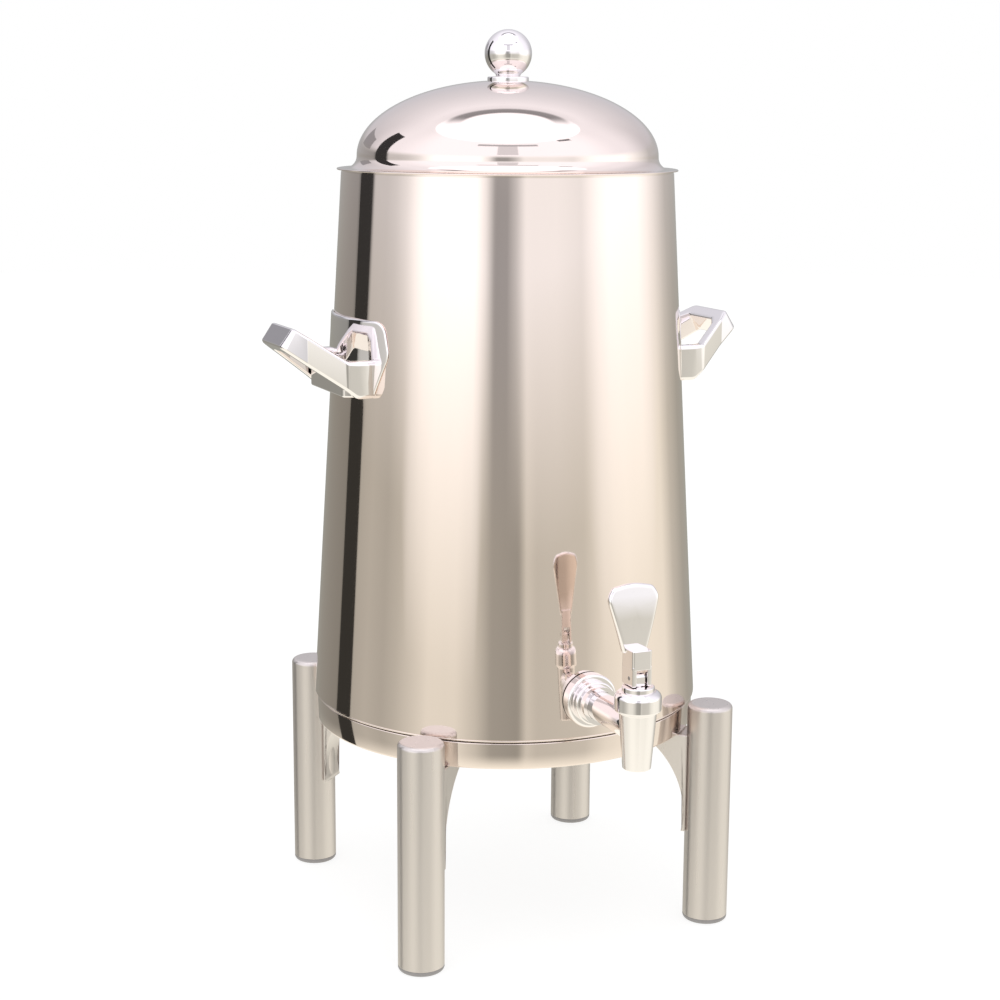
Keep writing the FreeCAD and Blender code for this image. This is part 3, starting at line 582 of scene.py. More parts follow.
class LidSizes(bpy.types.PropertyGroup):
    rim: length("Rim", "Height of the rim that the lid rests on", 576.7)
    wall: length("Wall", "Thickness of the lid's sheet", 1.2)
    flange: length("Flange", "Radius of the flange", 129.3)
    flare: length("Flare", "Radius of the hollow between flange and dome", 9.0)
    dome: length("Dome radius", "Radius of the dome at its foot", 114.2)
    dome_height: length("Dome height", "Height of the dome above its foot", 56.5)
    lip_under: length("Lip below", "Width of the flange's flat underside", 3.0)
    lip_over: length("Lip above", "Width of the flange's flat upper side", 2.0)
    ball: length("Ball", "Radius of the knob's ball", 17.8)
    ball_rise: length("Ball rise", "Height of the ball's middle above the disc", 17.0)
    neck: length("Neck", "Radius of the knob's neck", 9.2)
    neck_height: length("Neck height", "Height of the neck's straight part", 1.2)
    waist: length("Waist", "How much wider than the neck the ball starts", 0.9)
    collar: length("Collar", "Radius of the disc under the knob", 15.6)
    collar_rise: length("Collar rise", "Height of the disc above the dome's top", 2.5)
    collar_sunk: length("Collar sunk", "How far the disc's underside lies below the dome's top", 2.0)
    collar_edge: length("Collar edge", "How far the disc's lower edge lies below the dome's top", 1.4)
    collar_inset: length("Collar inset", "How far the disc's underside is drawn in", 2.0)
    collar_middle: length("Collar middle", "How far the disc's middle lies below the dome's top", 0.5)


def dome_profile(sizes, shrink):
    """From the flange inward and up: a hollow quarter circle, then a quarter of an ellipse."""
    spring = sizes["rim"] + sizes["wall"] + sizes["flare"]
    radius = sizes["dome"] - shrink
    flare = sizes["flare"] + shrink
    turn = np.linspace(0.0, math.pi / 2, FLARE_STEPS)
    hollow = np.stack([radius + flare * (1 - np.sin(turn)), spring - flare * np.cos(turn)], axis=1)
    rise = np.linspace(0.0, math.pi / 2, DOME_STEPS)[1:]
    tall = sizes["dome_height"] - shrink
    dome = np.stack([radius * np.cos(rise), spring + tall * np.sin(rise)], axis=1)
    return np.vstack([hollow, dome])


def lid_profile(sizes):
    """The dome's inside, out along the flange's underside, a half circle round its lip, and the dome's
    outside."""
    rim, wall, edge = sizes["rim"], sizes["wall"], sizes["flange"]
    turn = np.linspace(-math.pi / 2, math.pi / 2, LIP_STEPS)
    half = wall / 2
    lip = np.stack([edge - half + half * np.cos(turn), rim + half + half * np.sin(turn)], axis=1)
    under, over = [(edge - sizes["lip_under"], rim)], [(edge - sizes["lip_over"], rim + wall)]
    inside, outside = dome_profile(sizes, wall)[::-1], dome_profile(sizes, 0.0)
    return np.vstack([inside[:-1], under, lip, over, outside])


def disc_profile(sizes, top, seat):
    """A disc that is let into the dome's top, with rounded edges."""
    collar = sizes["collar"]
    rim = rounded(
        [(collar - sizes["collar_inset"], top - sizes["collar_sunk"]), (collar, top - sizes["collar_edge"]),
         (collar, seat), (sizes["neck"], seat)],
        DISC_ROUNDING, closed=False,
    )
    return np.vstack([[(0.0, top - sizes["collar_middle"])], rim, [(0.0, seat)]])


def ball_profile(sizes, seat):
    """A short straight neck, then the arc of the ball's circle from its waist to its top."""
    radius, neck = sizes["ball"], sizes["neck"]
    centre = seat + sizes["ball_rise"]
    waist = math.asin((neck + sizes["waist"]) / radius) - math.pi / 2
    turn = np.linspace(waist, math.pi / 2, BALL_STEPS)
    ball = np.stack([radius * np.cos(turn), centre + radius * np.sin(turn)], axis=1)
    ball[-1, 0] = 0.0
    return np.vstack([[(0.0, seat), (neck, seat), (neck, seat + sizes["neck_height"])], ball])


class URN_OT_lid(bpy.types.Operator):
    """Make the lid's sheet dome, and the knob on its collar"""

    bl_idname = "urn.lid"
    bl_label = "Lid and knob"

    def execute(self, context):
        sizes = millimetres(context.scene.urn_lid)
        steel, chrome = finish_named("polished_steel"), finish_named("chrome")
        sheet = [(turned(lid_profile(sizes), FINE), POLES)]
        skin("lid_dome", sheet, "lid", ["lid_shell"], steel, False)
        top = sizes["rim"] + sizes["wall"] + sizes["flare"] + sizes["dome_height"]
        seat = top + sizes["collar_rise"]
        disc = [(turned(disc_profile(sizes, top, seat), MIDDLING), POLES)]
        skin("knob_disc", disc, "lid", ["knob_collar"], chrome, False)
        ball = [(turned(ball_profile(sizes, seat), MIDDLING), POLES)]
        skin("knob_sphere", ball, "lid", ["knob_ball"], chrome, False)
        return {"FINISHED"}


# Tap
# Corner radii of the spout's profile, from its bore round its mouth and shoulder to its top, and of the cap's
SPOUT_ROUNDING = (0.1, 0.5, 0.6, 1.0, 1.4, 4.5, 5.0, 0.1)
CAP_ROUNDING = (0.2, 0.3, 0.9, 0.2, 0.2, 0.2)
SPOUT_STEPS = 9


class TapSizes(bpy.types.PropertyGroup):
    height: length("Tap height", "Height of the tap's barrel", 201.0)
    axis: length("Tap reach", "Distance of the spout from the urn's axis", 225.0)
    spout_tip: length("Spout tip", "Radius of the spout at its mouth", 10.0)
    spout_top: length("Spout top", "Radius of the spout under its shoulder", 13.4)
    shoulder: length("Shoulder", "Radius of the valve chamber", 16.58)
    mouth: length("Mouth", "Radius of the spout's bore", 7.5)
    tip_drop: length("Tip drop", "From the barrel's middle down to the mouth", 28.8)
    bore_drop: length("Bore drop", "From the barrel's middle down to the bore's end", 9.0)
    shoulder_rise: length("Shoulder rise", "From the barrel's middle up to the shoulder", 12.5)
    shoulder_step: length("Shoulder step", "Height of the shoulder's slope", 0.8)
    top_rise: length("Top rise", "From the barrel's middle up to the chamber's top", 27.5)
    barrel: length("Barrel", "Radius of the barrel", 11.0)
    barrel_start: length("Barrel start", "Distance of the barrel's end from the body's skin", 16.0)
    barrel_end: length("Barrel end", "Distance of its other end from the spout's middle", 4.0)
    bonnet: length("Bonnet", "Radius of the cap on the chamber", 11.5)
    cap_rise: length("Cap rise", "Height of the cap above the chamber", 3.5)
    cap_sunk: length("Cap sunk", "How far the cap reaches into the chamber", 0.5)
    cap_hole: length("Cap hole", "Radius of the hole for the stem", 3.1)
    hole_floor: length("Hole floor", "Height of the hole's floor above the chamber", 1.0)


def spout_profile(sizes):
    """From the bore's end down and round the mouth, up the tapered spout, over the shoulder to the top."""
    tap_z, mouth, shoulder = sizes["height"], sizes["mouth"], sizes["shoulder"]
    bore_z, tip_z = tap_z - sizes["bore_drop"], tap_z - sizes["tip_drop"]
    shoulder_z, top_z = tap_z + sizes["shoulder_rise"], tap_z + sizes["top_rise"]
    corners = [
        (0.0, bore_z), (mouth, bore_z), (mouth, tip_z),
        (sizes["spout_tip"], tip_z), (sizes["spout_top"], shoulder_z),
        (shoulder, shoulder_z + sizes["shoulder_step"]), (shoulder, top_z), (0.0, top_z),
    ]
    return rounded(corners, SPOUT_ROUNDING, steps=SPOUT_STEPS, closed=False)


def cap_profile(sizes):
    """A low cap with a hole in its top."""
    top, hole, bonnet = sizes["height"] + sizes["top_rise"], sizes["cap_hole"], sizes["bonnet"]
    foot, head, floor = top - sizes["cap_sunk"], top + sizes["cap_rise"], top + sizes["hole_floor"]
    corners = [(0.0, foot), (bonnet, foot), (bonnet, head), (hole, head), (hole, floor), (0.0, floor)]
    return rounded(corners, CAP_ROUNDING, closed=False)


class URN_OT_tap(bpy.types.Operator):
    """Make the tap's casting and its cap"""

    bl_idname = "urn.tap"
    bl_label = "Tap"

    def execute(self, context):
        sizes = millimetres(context.scene.urn_tap)
        tap_z, axis, barrel = sizes["height"], sizes["axis"], sizes["barrel"]
        spout = turned(spout_profile(sizes), MIDDLING, (0.0, -axis))
        start, end = body_r(tap_z) + sizes["barrel_start"], axis - sizes["barrel_end"]
        bar = outward(turned([(0.0, start), (barrel, start), (barrel, end), (0.0, end)], COARSE), tap_z)
        cap = turned(cap_profile(sizes), COARSE, (0.0, -axis))
        chrome = finish_named("chrome")
        skin("tap_casting", [(spout, POLES), (bar, POLES)], "urn", ["tap_body"], chrome)
        skin("tap_cap", [(cap, POLES)], "urn", ["tap_bonnet"], chrome)
        return {"FINISHED"}


# Lever
# Corner radii of the paddle's outline, from its foot round its head
PADDLE_ROUNDING = (2.5, 2.5, 9.0, 5.0, 60.0, 5.0, 9.0)
PADDLE_STEPS = 9
# Share of the paddle's half width at the ends of its crown, and of its height at its middle
CROWN_SHARE, LEAF_MIDDLE = 0.78, 0.6


class LeverSizes(bpy.types.PropertyGroup):
    axis: length("Reach", "Distance of the pin from the urn's axis", 225.0)
    fork_low: length("Fork foot", "Height of the fork's lower end", 232.3)
    fork_high: length("Fork head", "Height of the fork's upper end", 258.0)
    fork_width: length("Fork width", "Width of the fork", 15.0)
    fork_depth: length("Fork depth", "Depth of the fork", 17.0)
    fork_front: length("Fork front", "How far the fork stands in front of the pin", 6.0)
    fork_round: length("Fork rounding", "Radius of the fork's upright corners", 1.6)
    fork_edge: length("Fork edge", "Rounding of the fork's upper edges", 0.5)
    slot_width: length("Slot width", "Width of the fork's slot", 8.4)
    slot_height: length("Slot height", "Height of the fork's slot", 12.0)
    cheek_inset: length("Cheek inset", "How far the cheeks are drawn in under the fork's head", 0.1)
    cheek_sunk: length("Cheek sunk", "How far the cheeks reach into the fork's head", 3.0)
    cheek_round: length("Cheek rounding", "Corner radius of the cheeks", 1.2)
    cheek_edge: length("Cheek edge", "Rounding of the cheeks' edges", 0.8)
    paddle_height: length("Paddle height", "Height of the paddle above the fork", 45.0)
    paddle_depth: length("Paddle thickness", "Thickness of the paddle", 5.0)
    paddle_low: length("Paddle foot", "Half width of the paddle's foot", 9.0)
    paddle_high: length("Paddle head", "Half width of the paddle's head", 20.0)
    paddle_sunk: length("Paddle sunk", "How far the paddle reaches into the fork's head", 4.0)
    paddle_brow: length("Paddle brow", "From the paddle's top down to its widest place", 10.0)
    paddle_crown: length("Paddle crown", "Height of the crown of the paddle's top", 2.9)
    paddle_edge: length("Paddle edge", "Rounding of the paddle's edges", 1.9)
    setback: length("Setback", "How far the paddle stands behind the pin", 7.5)
    lean: length("Lean", "How far the paddle's head bends back", 4.5)


def fork_parts(sizes):
    """The fork's head, a rounded block, and its two cheeks, plates on either side of the slot."""
    low, high, half = sizes["fork_low"], sizes["fork_high"], sizes["fork_width"] / 2
    front = -sizes["axis"] - sizes["fork_front"]
    back = front + sizes["fork_depth"]
    knee = low + sizes["slot_height"]
    plan = rounded([(-half, front), (half, front), (half, back), (-half, back)], [sizes["fork_round"]] * 4)
    block = plate(plan, high - knee, sizes["fork_edge"])
    block = np.stack([block[..., 0], block[..., 1], knee + block[..., 2]], axis=-1)
    inset, top = sizes["cheek_inset"], knee + sizes["cheek_sunk"]
    near, far = front + inset, back - inset
    side = rounded([(near, low), (far, low), (far, top), (near, top)], [sizes["cheek_round"]] * 4)
    cheek = plate(side, half - inset - sizes["slot_width"] / 2, sizes["cheek_edge"])
    left = np.stack([inset - half + cheek[..., 2], cheek[..., 0], cheek[..., 1]], axis=-1)
    right = np.stack([half - inset - cheek[..., 2], cheek[..., 0], cheek[..., 1]], axis=-1)
    return [block, left, right]


def paddle_leaf(sizes):
    """A fan-shaped plate that bends back with the square of its height."""
    wide, narrow, tall = sizes["paddle_high"], sizes["paddle_low"], sizes["paddle_height"]
    thick, foot, brow = sizes["paddle_depth"], -sizes["paddle_sunk"], tall - sizes["paddle_brow"]
    crown_half, crown_foot = wide * CROWN_SHARE, tall - sizes["paddle_crown"]
    outline = rounded(
        [(-narrow, foot), (narrow, foot), (wide, brow), (crown_half, crown_foot), (0.0, tall),
         (-crown_half, crown_foot), (-wide, brow)],
        PADDLE_ROUNDING, steps=PADDLE_STEPS,
    )
    leaf = plate(finer(outline), thick, sizes["paddle_edge"], middle=(0.0, tall * LEAF_MIDDLE))
    face = sizes["setback"] - sizes["axis"] - thick / 2
    lean = sizes["lean"] * (np.maximum(leaf[..., 1], 0.0) / tall) ** 2
    return np.stack([leaf[..., 0], face + leaf[..., 2] + lean, sizes["fork_high"] + leaf[..., 1]], axis=-1)


class URN_OT_lever(bpy.types.Operator):
    """Make the tap's lever: a fork over the stem and a fan-shaped paddle"""

    bl_idname = "urn.lever"
    bl_label = "Lever"

    def execute(self, context):
        sizes = millimetres(context.scene.urn_lever)
        parts = [(grid, POLES) for grid in (*fork_parts(sizes), paddle_leaf(sizes))]
        skin("lever_casting", parts, "lever", ["tap_lever"], finish_named("chrome"))
        return {"FINISHED"}


# Stand
LEG_PLACES = (("front_left", 315.0), ("front_right", 45.0), ("rear_right", 135.0), ("rear_left", 225.0))
# Corner radii of the ring's section, from its outer foot, and of the leg's foot, from its middle
RING_ROUNDING = (1.6, 0.9, 0.9, 0.5, 0.5, 0.5)
LEG_ROUNDING = (0.2, 0.2, 0.3, 0.3)
GUSSET_ROUNDING = (1, 1, 1, 1.6, 1)
RING_STEPS, BEAD_STEPS, LEG_STEPS, LEG_ROWS, CURVE_STEPS, GUSSET_STEPS = 6, 16, 8, 10, 24, 5
# Where a gusset's curve bends most: share of its reach, and of its height below the ledge
CURVE_REACH, CURVE_DROP = 0.64, 0.24
# Height of the bead's middle below the body's edge, as a share of its radius
BEAD_DROP = 0.9


class StandSizes(bpy.types.PropertyGroup):
    ring: length("Ring", "Outer radius of the stand's ring", 148.8)
    ring_low: length("Ring foot", "Height of the ring's lower edge", 150.6)
    ring_high: length("Ring head", "Height of the ring's upper edge", 170.4)
    ring_wall: length("Ring wall", "Thickness of the ring's sheet", 2.0)
    flange: length("Flange", "Inner radius of the ring's lower flange", 126.0)
    hem: length("Hem", "Radius of the bead along the body's lower edge", 0.9)
    hem_inset: length("Hem inset", "How far the bead is drawn in from the body's edge", 0.1)
    leg: length("Leg", "Radius of a leg", 17.25)
    leg_wall: length("Leg wall", "Width of the leg's rim round its foot", 2.0)
    leg_hollow: length("Leg hollow", "Depth of the hollow in the leg's foot", 1.0)
    leg_circle: length("Leg circle", "Distance of the legs from the axis", 169.5)
    leg_low: length("Leg foot", "Height of a leg's lower end", 4.0)
    leg_high: length("Leg head", "Height of a leg's top", 175.0)
    leg_round: length("Leg rounding", "Rounding of a leg's top", 3.5)
    bracket: length("Bracket width", "Width of a bracket", 25.0)
    bracket_inner: length("Bracket reach", "Distance of a bracket's inner end from the axis", 124.0)
    bracket_sunk: length("Bracket sunk", "How far a bracket reaches into its leg", 3.0)
    bracket_height: length("Bracket height", "Height of a bracket", 78.0)
    bracket_ledge: length("Bracket ledge", "Thickness of a bracket's inner end", 7.0)
    bracket_toe: length("Bracket toe", "Width of a bracket's lower end", 3.5)
    bracket_bulge: length("Bracket bulge", "How far the curve's bend is moved out", 0.5)
    bracket_edge: length("Bracket edge", "Rounding of a bracket's edges", 1.0)
    crown_inset: length("Bracket middle", "From a bracket's outer top corner to its middle", 4.0)
    crown_drop: length("Bracket middle drop", "From its top down to its middle", 8.0)


class URN_OT_stand(bpy.types.Operator):
    """Make the stand's ring, the four legs and their brackets"""

    bl_idname = "urn.stand"
    bl_label = "Stand"

    def execute(self, context):
        sizes = millimetres(context.scene.urn_stand)
        steel, brushed, slot = finish_named("polished_steel"), finish_named("brushed_legs"), "polished_steel"
        band, bead = turned(ring_section(sizes), FINE), turned(bead_section(sizes), FINE)
        skin("ring_band", [(band, RING)], "urn", ["stand_ring"], steel, False)
        skin("body_hem", [(bead, RING)], "urn", [], steel, False)
        tube, block = leg_tube(sizes), gusset(sizes)
        for place, azimuth in LEG_PLACES:
            leg, bracket = [(spun(tube, azimuth), POLES)], [(spun(block, azimuth), POLES)]
            skin("leg_tube_" + place, leg, "urn", ["leg_" + place], brushed)
            skin("gusset_" + place, bracket, "urn", ["leg_bracket_" + place], brushed)
        return {"FINISHED"}


def ring_section(sizes):
    """An L of sheet: a band that stands up and a flange that points in at its foot."""
    outer, low, high, wall = sizes["ring"], sizes["ring_low"], sizes["ring_high"], sizes["ring_wall"]
    inner, floor, flange = outer - wall, low + wall, sizes["flange"]
    corners = [(outer, low), (outer, high), (inner, high), (inner, floor), (flange, floor), (flange, low)]
    return rounded(corners, RING_ROUNDING, steps=RING_STEPS)


def bead_section(sizes):
    """A small circle under the body's lower edge."""
    hem = sizes["hem"]
    turn = np.linspace(0.0, math.tau, BEAD_STEPS, endpoint=False)
    middle_r, middle_z = BODY_LOW_R - hem - sizes["hem_inset"], BODY_LOW_Z - BEAD_DROP * hem
    return np.stack([middle_r + hem * np.cos(turn), middle_z + hem * np.sin(turn)], axis=1)


def leg_tube(sizes):
    """A tube turned about the leg's own axis, hollow at its foot and closed at its top by a rounded cap."""
    r, low, high = sizes["leg"], sizes["leg_low"], sizes["leg_high"]
    inner, hollow = r - sizes["leg_wall"], low + sizes["leg_hollow"]
    outline = rounded(
        [(0.0, hollow), (inner, hollow), (inner, low), (r, low), (r, high), (0.0, high)],
        (*LEG_ROUNDING, sizes["leg_round"], 0.0), steps=LEG_STEPS, closed=False,
    )
    foot, cap = outline[:-LEG_STEPS - 1], outline[-LEG_STEPS - 1:]
    share = np.linspace(0.0, 1.0, LEG_ROWS)[1:-1, None]
    side = foot[-1] * (1 - share) + cap[0] * share
    return turned(np.vstack([foot, side, cap]), MIDDLING, (0.0, -sizes["leg_circle"]))


def gusset(sizes):
    """A block from the ring's flange to the leg, with a hollow curved side and rounded edges."""
    top, tall, toe = sizes["ring_low"], sizes["bracket_height"], sizes["bracket_toe"]
    inner, outer = sizes["bracket_inner"], sizes["leg_circle"] - sizes["leg"] + sizes["bracket_sunk"]
    ledge = top - sizes["bracket_ledge"]
    start, end = np.array([inner, ledge]), np.array([outer - toe, top - tall])
    reach = end[0] - inner + sizes["bracket_bulge"]
    bend = np.array([inner + reach * CURVE_REACH, ledge - tall * CURVE_DROP])
    curve = arc_through(start, bend, end, CURVE_STEPS)
    back = rounded(
        [end, (outer, top - tall), (outer, top), (inner, top), start],
        GUSSET_ROUNDING, steps=GUSSET_STEPS, closed=False,
    )
    middle = (outer - sizes["crown_inset"], top - sizes["crown_drop"])
    block = plate(np.vstack([curve, back[1:-1]]), sizes["bracket"], sizes["bracket_edge"], middle=middle)
    return np.stack([block[..., 2] - sizes["bracket"] / 2, -block[..., 0], block[..., 1]], axis=-1)


def arc_through(first, second, third, steps):
    """Points on the circle through three points, from the first to the third."""
    matrix = 2.0 * np.array([second - first, third - first])
    right = np.array([second @ second - first @ first, third @ third - first @ first])
    centre = np.linalg.solve(matrix, right)
    start, end = first - centre, third - centre
    sweep = math.acos(np.clip(start @ end / (np.linalg.norm(start) * np.linalg.norm(end)), -1.0, 1.0))
    share = np.linspace(0.0, 1.0, steps)[:, None]
    return centre + (np.sin((1 - share) * sweep) * start + np.sin(share * sweep) * end) / math.sin(sweep)


# Studio
def ramp_node(tree, stops):
    """A ramp of greys over 0 to 1, from (place, brightness) stops."""
    node = tree.nodes.new("ShaderNodeValToRGB")
    elements = node.color_ramp.elements
    while len(elements) > 1:
        elements.remove(elements[-1])
    elements[0].position = stops[0][0]
    elements[0].color = (stops[0][1],) * 3 + (1.0,)
    for place, value in stops[1:]:
        element = elements.new(place)
        element.color = (value,) * 3 + (1.0,)
    return node


def maths(tree, operation, first, second=None):
    node = tree.nodes.new("ShaderNodeMath")
    node.operation = operation
    for socket, value in zip(node.inputs, (first, second)):
        if value is None:
            continue
        if isinstance(value, (int, float)):
            socket.default_value = value
        else:
            tree.links.new(value, socket)
    return node.outputs[0]


# What stands round the urn: degrees to the right of the camera's line, brightness
LEVEL_PANELS = (
    (-180, 0.48), (-150, 0.42), (-122, 0.34), (-116, 0.04), (-104, 0.04), (-101, 0.66), (-88, 0.67),
    (-80, 0.75), (-71, 0.93), (-63, 1.22), (-55, 1.45), (-21, 1.45), (-14, 1.02), (-8, 0.38), (0, 0.39),
    (6, 0.65), (12, 1.06), (33, 1.06), (50, 0.98), (61, 1.25), (70, 1.4), (97, 1.4), (107, 1.2), (119, 0.92),
    (135, 0.58), (160, 0.5), (180, 0.48),
)
# The same below the level, where the panels end
LOW_PANELS = (
    (-180, 0.36), (-138, 0.30), (-120, 0.27), (-116, 0.03), (-107, 0.03), (-103, 0.48), (-91, 0.53),
    (-78, 0.48), (-68, 0.56), (-54, 0.75), (-46, 0.88), (-29, 0.86), (-17, 0.65), (-8, 0.40), (8, 0.36),
    (13, 0.70),
    (19, 0.61), (30, 0.62), (49, 0.66), (63, 0.89), (80, 1.02), (100, 1.0), (114, 0.95), (127, 0.61),
    (145, 0.42), (180, 0.36),
)
# The ceiling behind the urn: degrees above the level, brightness
REAR_RISE = (
    (0, 0.48), (10, 0.62), (22, 0.68), (36, 0.80), (46, 0.92), (56, 1.06), (62, 0.98), (64, 0.35), (69, 0.30),
    (71, 1.45), (90, 1.45),
)
# Dark cards in front of the lights: middle and half width in degrees round, lower and upper edge, brightness
HANGING_FLAGS = (
    (-111.5, 7.5, -30, 37, 0.04), (56, 7, 46.5, 50, 0.25), (0, 26, 37.5, 42, 0.55), (0, 8, 14, 37.5, 0.82),
    (-141, 10, 8, 20, 0.33),
)
# A panel this bright reaches lower: depths in degrees below the level, and the height that they fade to
BRIGHT_PANEL, PANEL_DEPTHS, PANEL_TOP = (1.0, 1.3), (6, 10), 2
# The table: degrees of elevation where it comes in and is all, and its brightness
TABLE_RISE, TABLE_GLOW = (-17, -31), 1.1
# The softbox overhead: its edge's elevation in front, its rise towards the rear and that rise's power, its
# blur and its brightness
BOX_EDGE, BOX_LIFT, BOX_POWER, BOX_BLUR, BOX_GLOW = 46, 26, 1.5, (-0.2, 0.6), 1.5
# The ceiling: elevations where it takes over, degrees round where its front changes, the brightness before
# and after that, and degrees round where the rear takes over
CEILING_RISE, FRONT_TURN, FRONT_GLOWS, REAR_TURN = (4, 14), (60, 100), (1.25, 1.06), (100, 140)
# Elevations where the high tint takes over, and the tints
HIGH_RISE = (6, 14)
LOW_TINT, LEVEL_TINT, HIGH_TINT = (1.0, 0.985, 0.88), (1.0, 1.01, 1.03), (1.0, 1.0, 1.08)
# What lights all that isn't a mirror
ROOM_LIGHT = 0.8
FLOOR_RADIUS, FLOOR_GREY, FLOOR_GLOW = 6.0, 0.30, 0.80
LAMP_SIZE, LAMP_POWER, LAMP_PLACE, LAMP_AIM = (1.6, 1.2), 6.0, (-0.5, -0.9, 2.2), (0, 0, 0.3)
FILM_WIDTH = 36.0


def studio_direction(tree, vector):
    """Azimuth from the camera's line, as 0 to 1 over a full turn, and elevation over a quarter."""
    split = tree.nodes.new("ShaderNodeSeparateXYZ")
    tree.links.new(vector, split.inputs[0])
    x, y, z = split.outputs
    turn = maths(tree, "ARCTAN2", x, maths(tree, "MULTIPLY", y, -1.0))
    level = maths(tree, "ADD", maths(tree, "DIVIDE", turn, math.tau), 0.5 + CAMERA_TURN / math.tau)
    level = maths(tree, "FRACT", level)
    squares = maths(tree, "ADD", maths(tree, "MULTIPLY", x, x), maths(tree, "MULTIPLY", y, y))
    flat = maths(tree, "SQRT", squares)
    rise = maths(tree, "DIVIDE", maths(tree, "ARCTAN2", z, flat), math.pi / 2)
    return level, rise


def smooth(tree, value, degrees, whole):
    """An eased step from 0 to 1, as the value passes between two angles out of the whole."""
    node = tree.nodes.new("ShaderNodeMapRange")
    node.interpolation_type = "SMOOTHSTEP"
    for name, edge in zip(("From Min", "From Max"), degrees):
        node.inputs[name].default_value = edge / whole
    tree.links.new(value, node.inputs["Value"])
    return node.outputs["Result"]


def mixed(tree, factor, first, second):
    """Blend two brightnesses, each a value or a socket."""
    node = tree.nodes.new("ShaderNodeMix")
    tree.links.new(factor, node.inputs["Factor"])
    for name, value in (("A", first), ("B", second)):
        if isinstance(value, (int, float)):
            node.inputs[name].default_value = value
        else:
            tree.links.new(value, node.inputs[name])
    return node.outputs["Result"]


def studio_glow(tree, vector):
    """What polished metal sees in each direction: side panels low down, a bright ceiling above."""
    level, rise = studio_direction(tree, vector)
    rings = []
    for panels in (LEVEL_PANELS, LOW_PANELS):
        ring = ramp_node(tree, [((angle + 180) / 360, value) for angle, value in panels])
        tree.links.new(level, ring.inputs[0])
        rings.append(ring.outputs[0])
    depth = mixed(tree, smooth(tree, rings[0], BRIGHT_PANEL, 1), *(angle / 90 for angle in PANEL_DEPTHS))
    deepest = maths(tree, "ADD", depth, PANEL_TOP / 90)
    height = maths(tree, "DIVIDE", maths(tree, "ADD", rise, depth), deepest)
    side = mixed(tree, height, rings[1], rings[0])
    side = mixed(tree, smooth(tree, rise, TABLE_RISE, 90), side, TABLE_GLOW)
    rear = ramp_node(tree, [(angle / 90, value) for angle, value in REAR_RISE])
    tree.links.new(rise, rear.inputs[0])
    from_camera = maths(tree, "ABSOLUTE", maths(tree, "SUBTRACT", level, 0.5))
    behind = smooth(tree, from_camera, REAR_TURN, 360)
    turn_away = maths(tree, "POWER", maths(tree, "MULTIPLY", from_camera, 2.0), BOX_POWER)
    box_edge = maths(tree, "ADD", maths(tree, "MULTIPLY", turn_away, BOX_LIFT / 90), BOX_EDGE / 90)
    in_box = smooth(tree, maths(tree, "SUBTRACT", rise, box_edge), BOX_BLUR, 90)
    facing = mixed(tree, smooth(tree, from_camera, FRONT_TURN, 360), *FRONT_GLOWS)
    front = mixed(tree, in_box, facing, BOX_GLOW)
    ceiling = mixed(tree, behind, front, rear.outputs[0])
    glow = mixed(tree, smooth(tree, rise, CEILING_RISE, 90), side, ceiling)
    for place, half_turn, low, high, value in HANGING_FLAGS:
        sideways = maths(tree, "ABSOLUTE", maths(tree, "SUBTRACT", level, (180 + place) / 360))
        inside = maths(tree, "LESS_THAN", sideways, half_turn / 360)
        inside = maths(tree, "MULTIPLY", inside, maths(tree, "GREATER_THAN", rise, low / 90))
        inside = maths(tree, "MULTIPLY", inside, maths(tree, "LESS_THAN", rise, high / 90))
        glow = mixed(tree, inside, glow, value)
    warmth = blended(tree, height, LOW_TINT, LEVEL_TINT)
    return glow, blended(tree, smooth(tree, rise, HIGH_RISE, 90), warmth, HIGH_TINT)


def blended(tree, factor, first, second):
    """Blend two colours, each a value or a socket."""
    node = tree.nodes.new("ShaderNodeMix")
    node.data_type = "RGBA"
    tree.links.new(factor, node.inputs["Factor"])
    for socket, colour in ((node.inputs[6], first), (node.inputs[7], second)):
        if isinstance(colour, tuple):
            socket.default_value = (*colour, 1.0)
        else:
            tree.links.new(colour, socket)
    return node.outputs[2]


class UrnStudio(bpy.types.PropertyGroup):
    camera_distance: length("Camera distance", "From the urn's axis, on the level", 1521.22)
    camera_height: length("Camera height", "Above the table", 627.62)
    camera_side: length("Camera side step", "To the left of the urn's axis", 4.188)
    camera_turn: angle("Camera turn", "How far the camera stands to the left of the tap", CAMERA_TURN)
    camera_pitch: angle("Camera pitch", "Downward tilt", 0.1989)
    camera_roll: angle("Camera roll", "Clockwise tilt of the picture", 0.0061)
    lens: bpy.props.FloatProperty(
        name="Lens", description="Focal length for a 36 mm sensor", unit="CAMERA", default=71.193,
    )


class URN_OT_studio(bpy.types.Operator):
    """Make the floor, the studio's light and the camera"""

    bl_idname = "urn.studio"
    bl_label = "Studio"

    def execute(self, context):
        make_world(context.scene)
        make_floor()
        make_lamp()
        make_camera(context.scene)
        context.scene.view_settings.view_transform = "Standard"
        return {"FINISHED"}


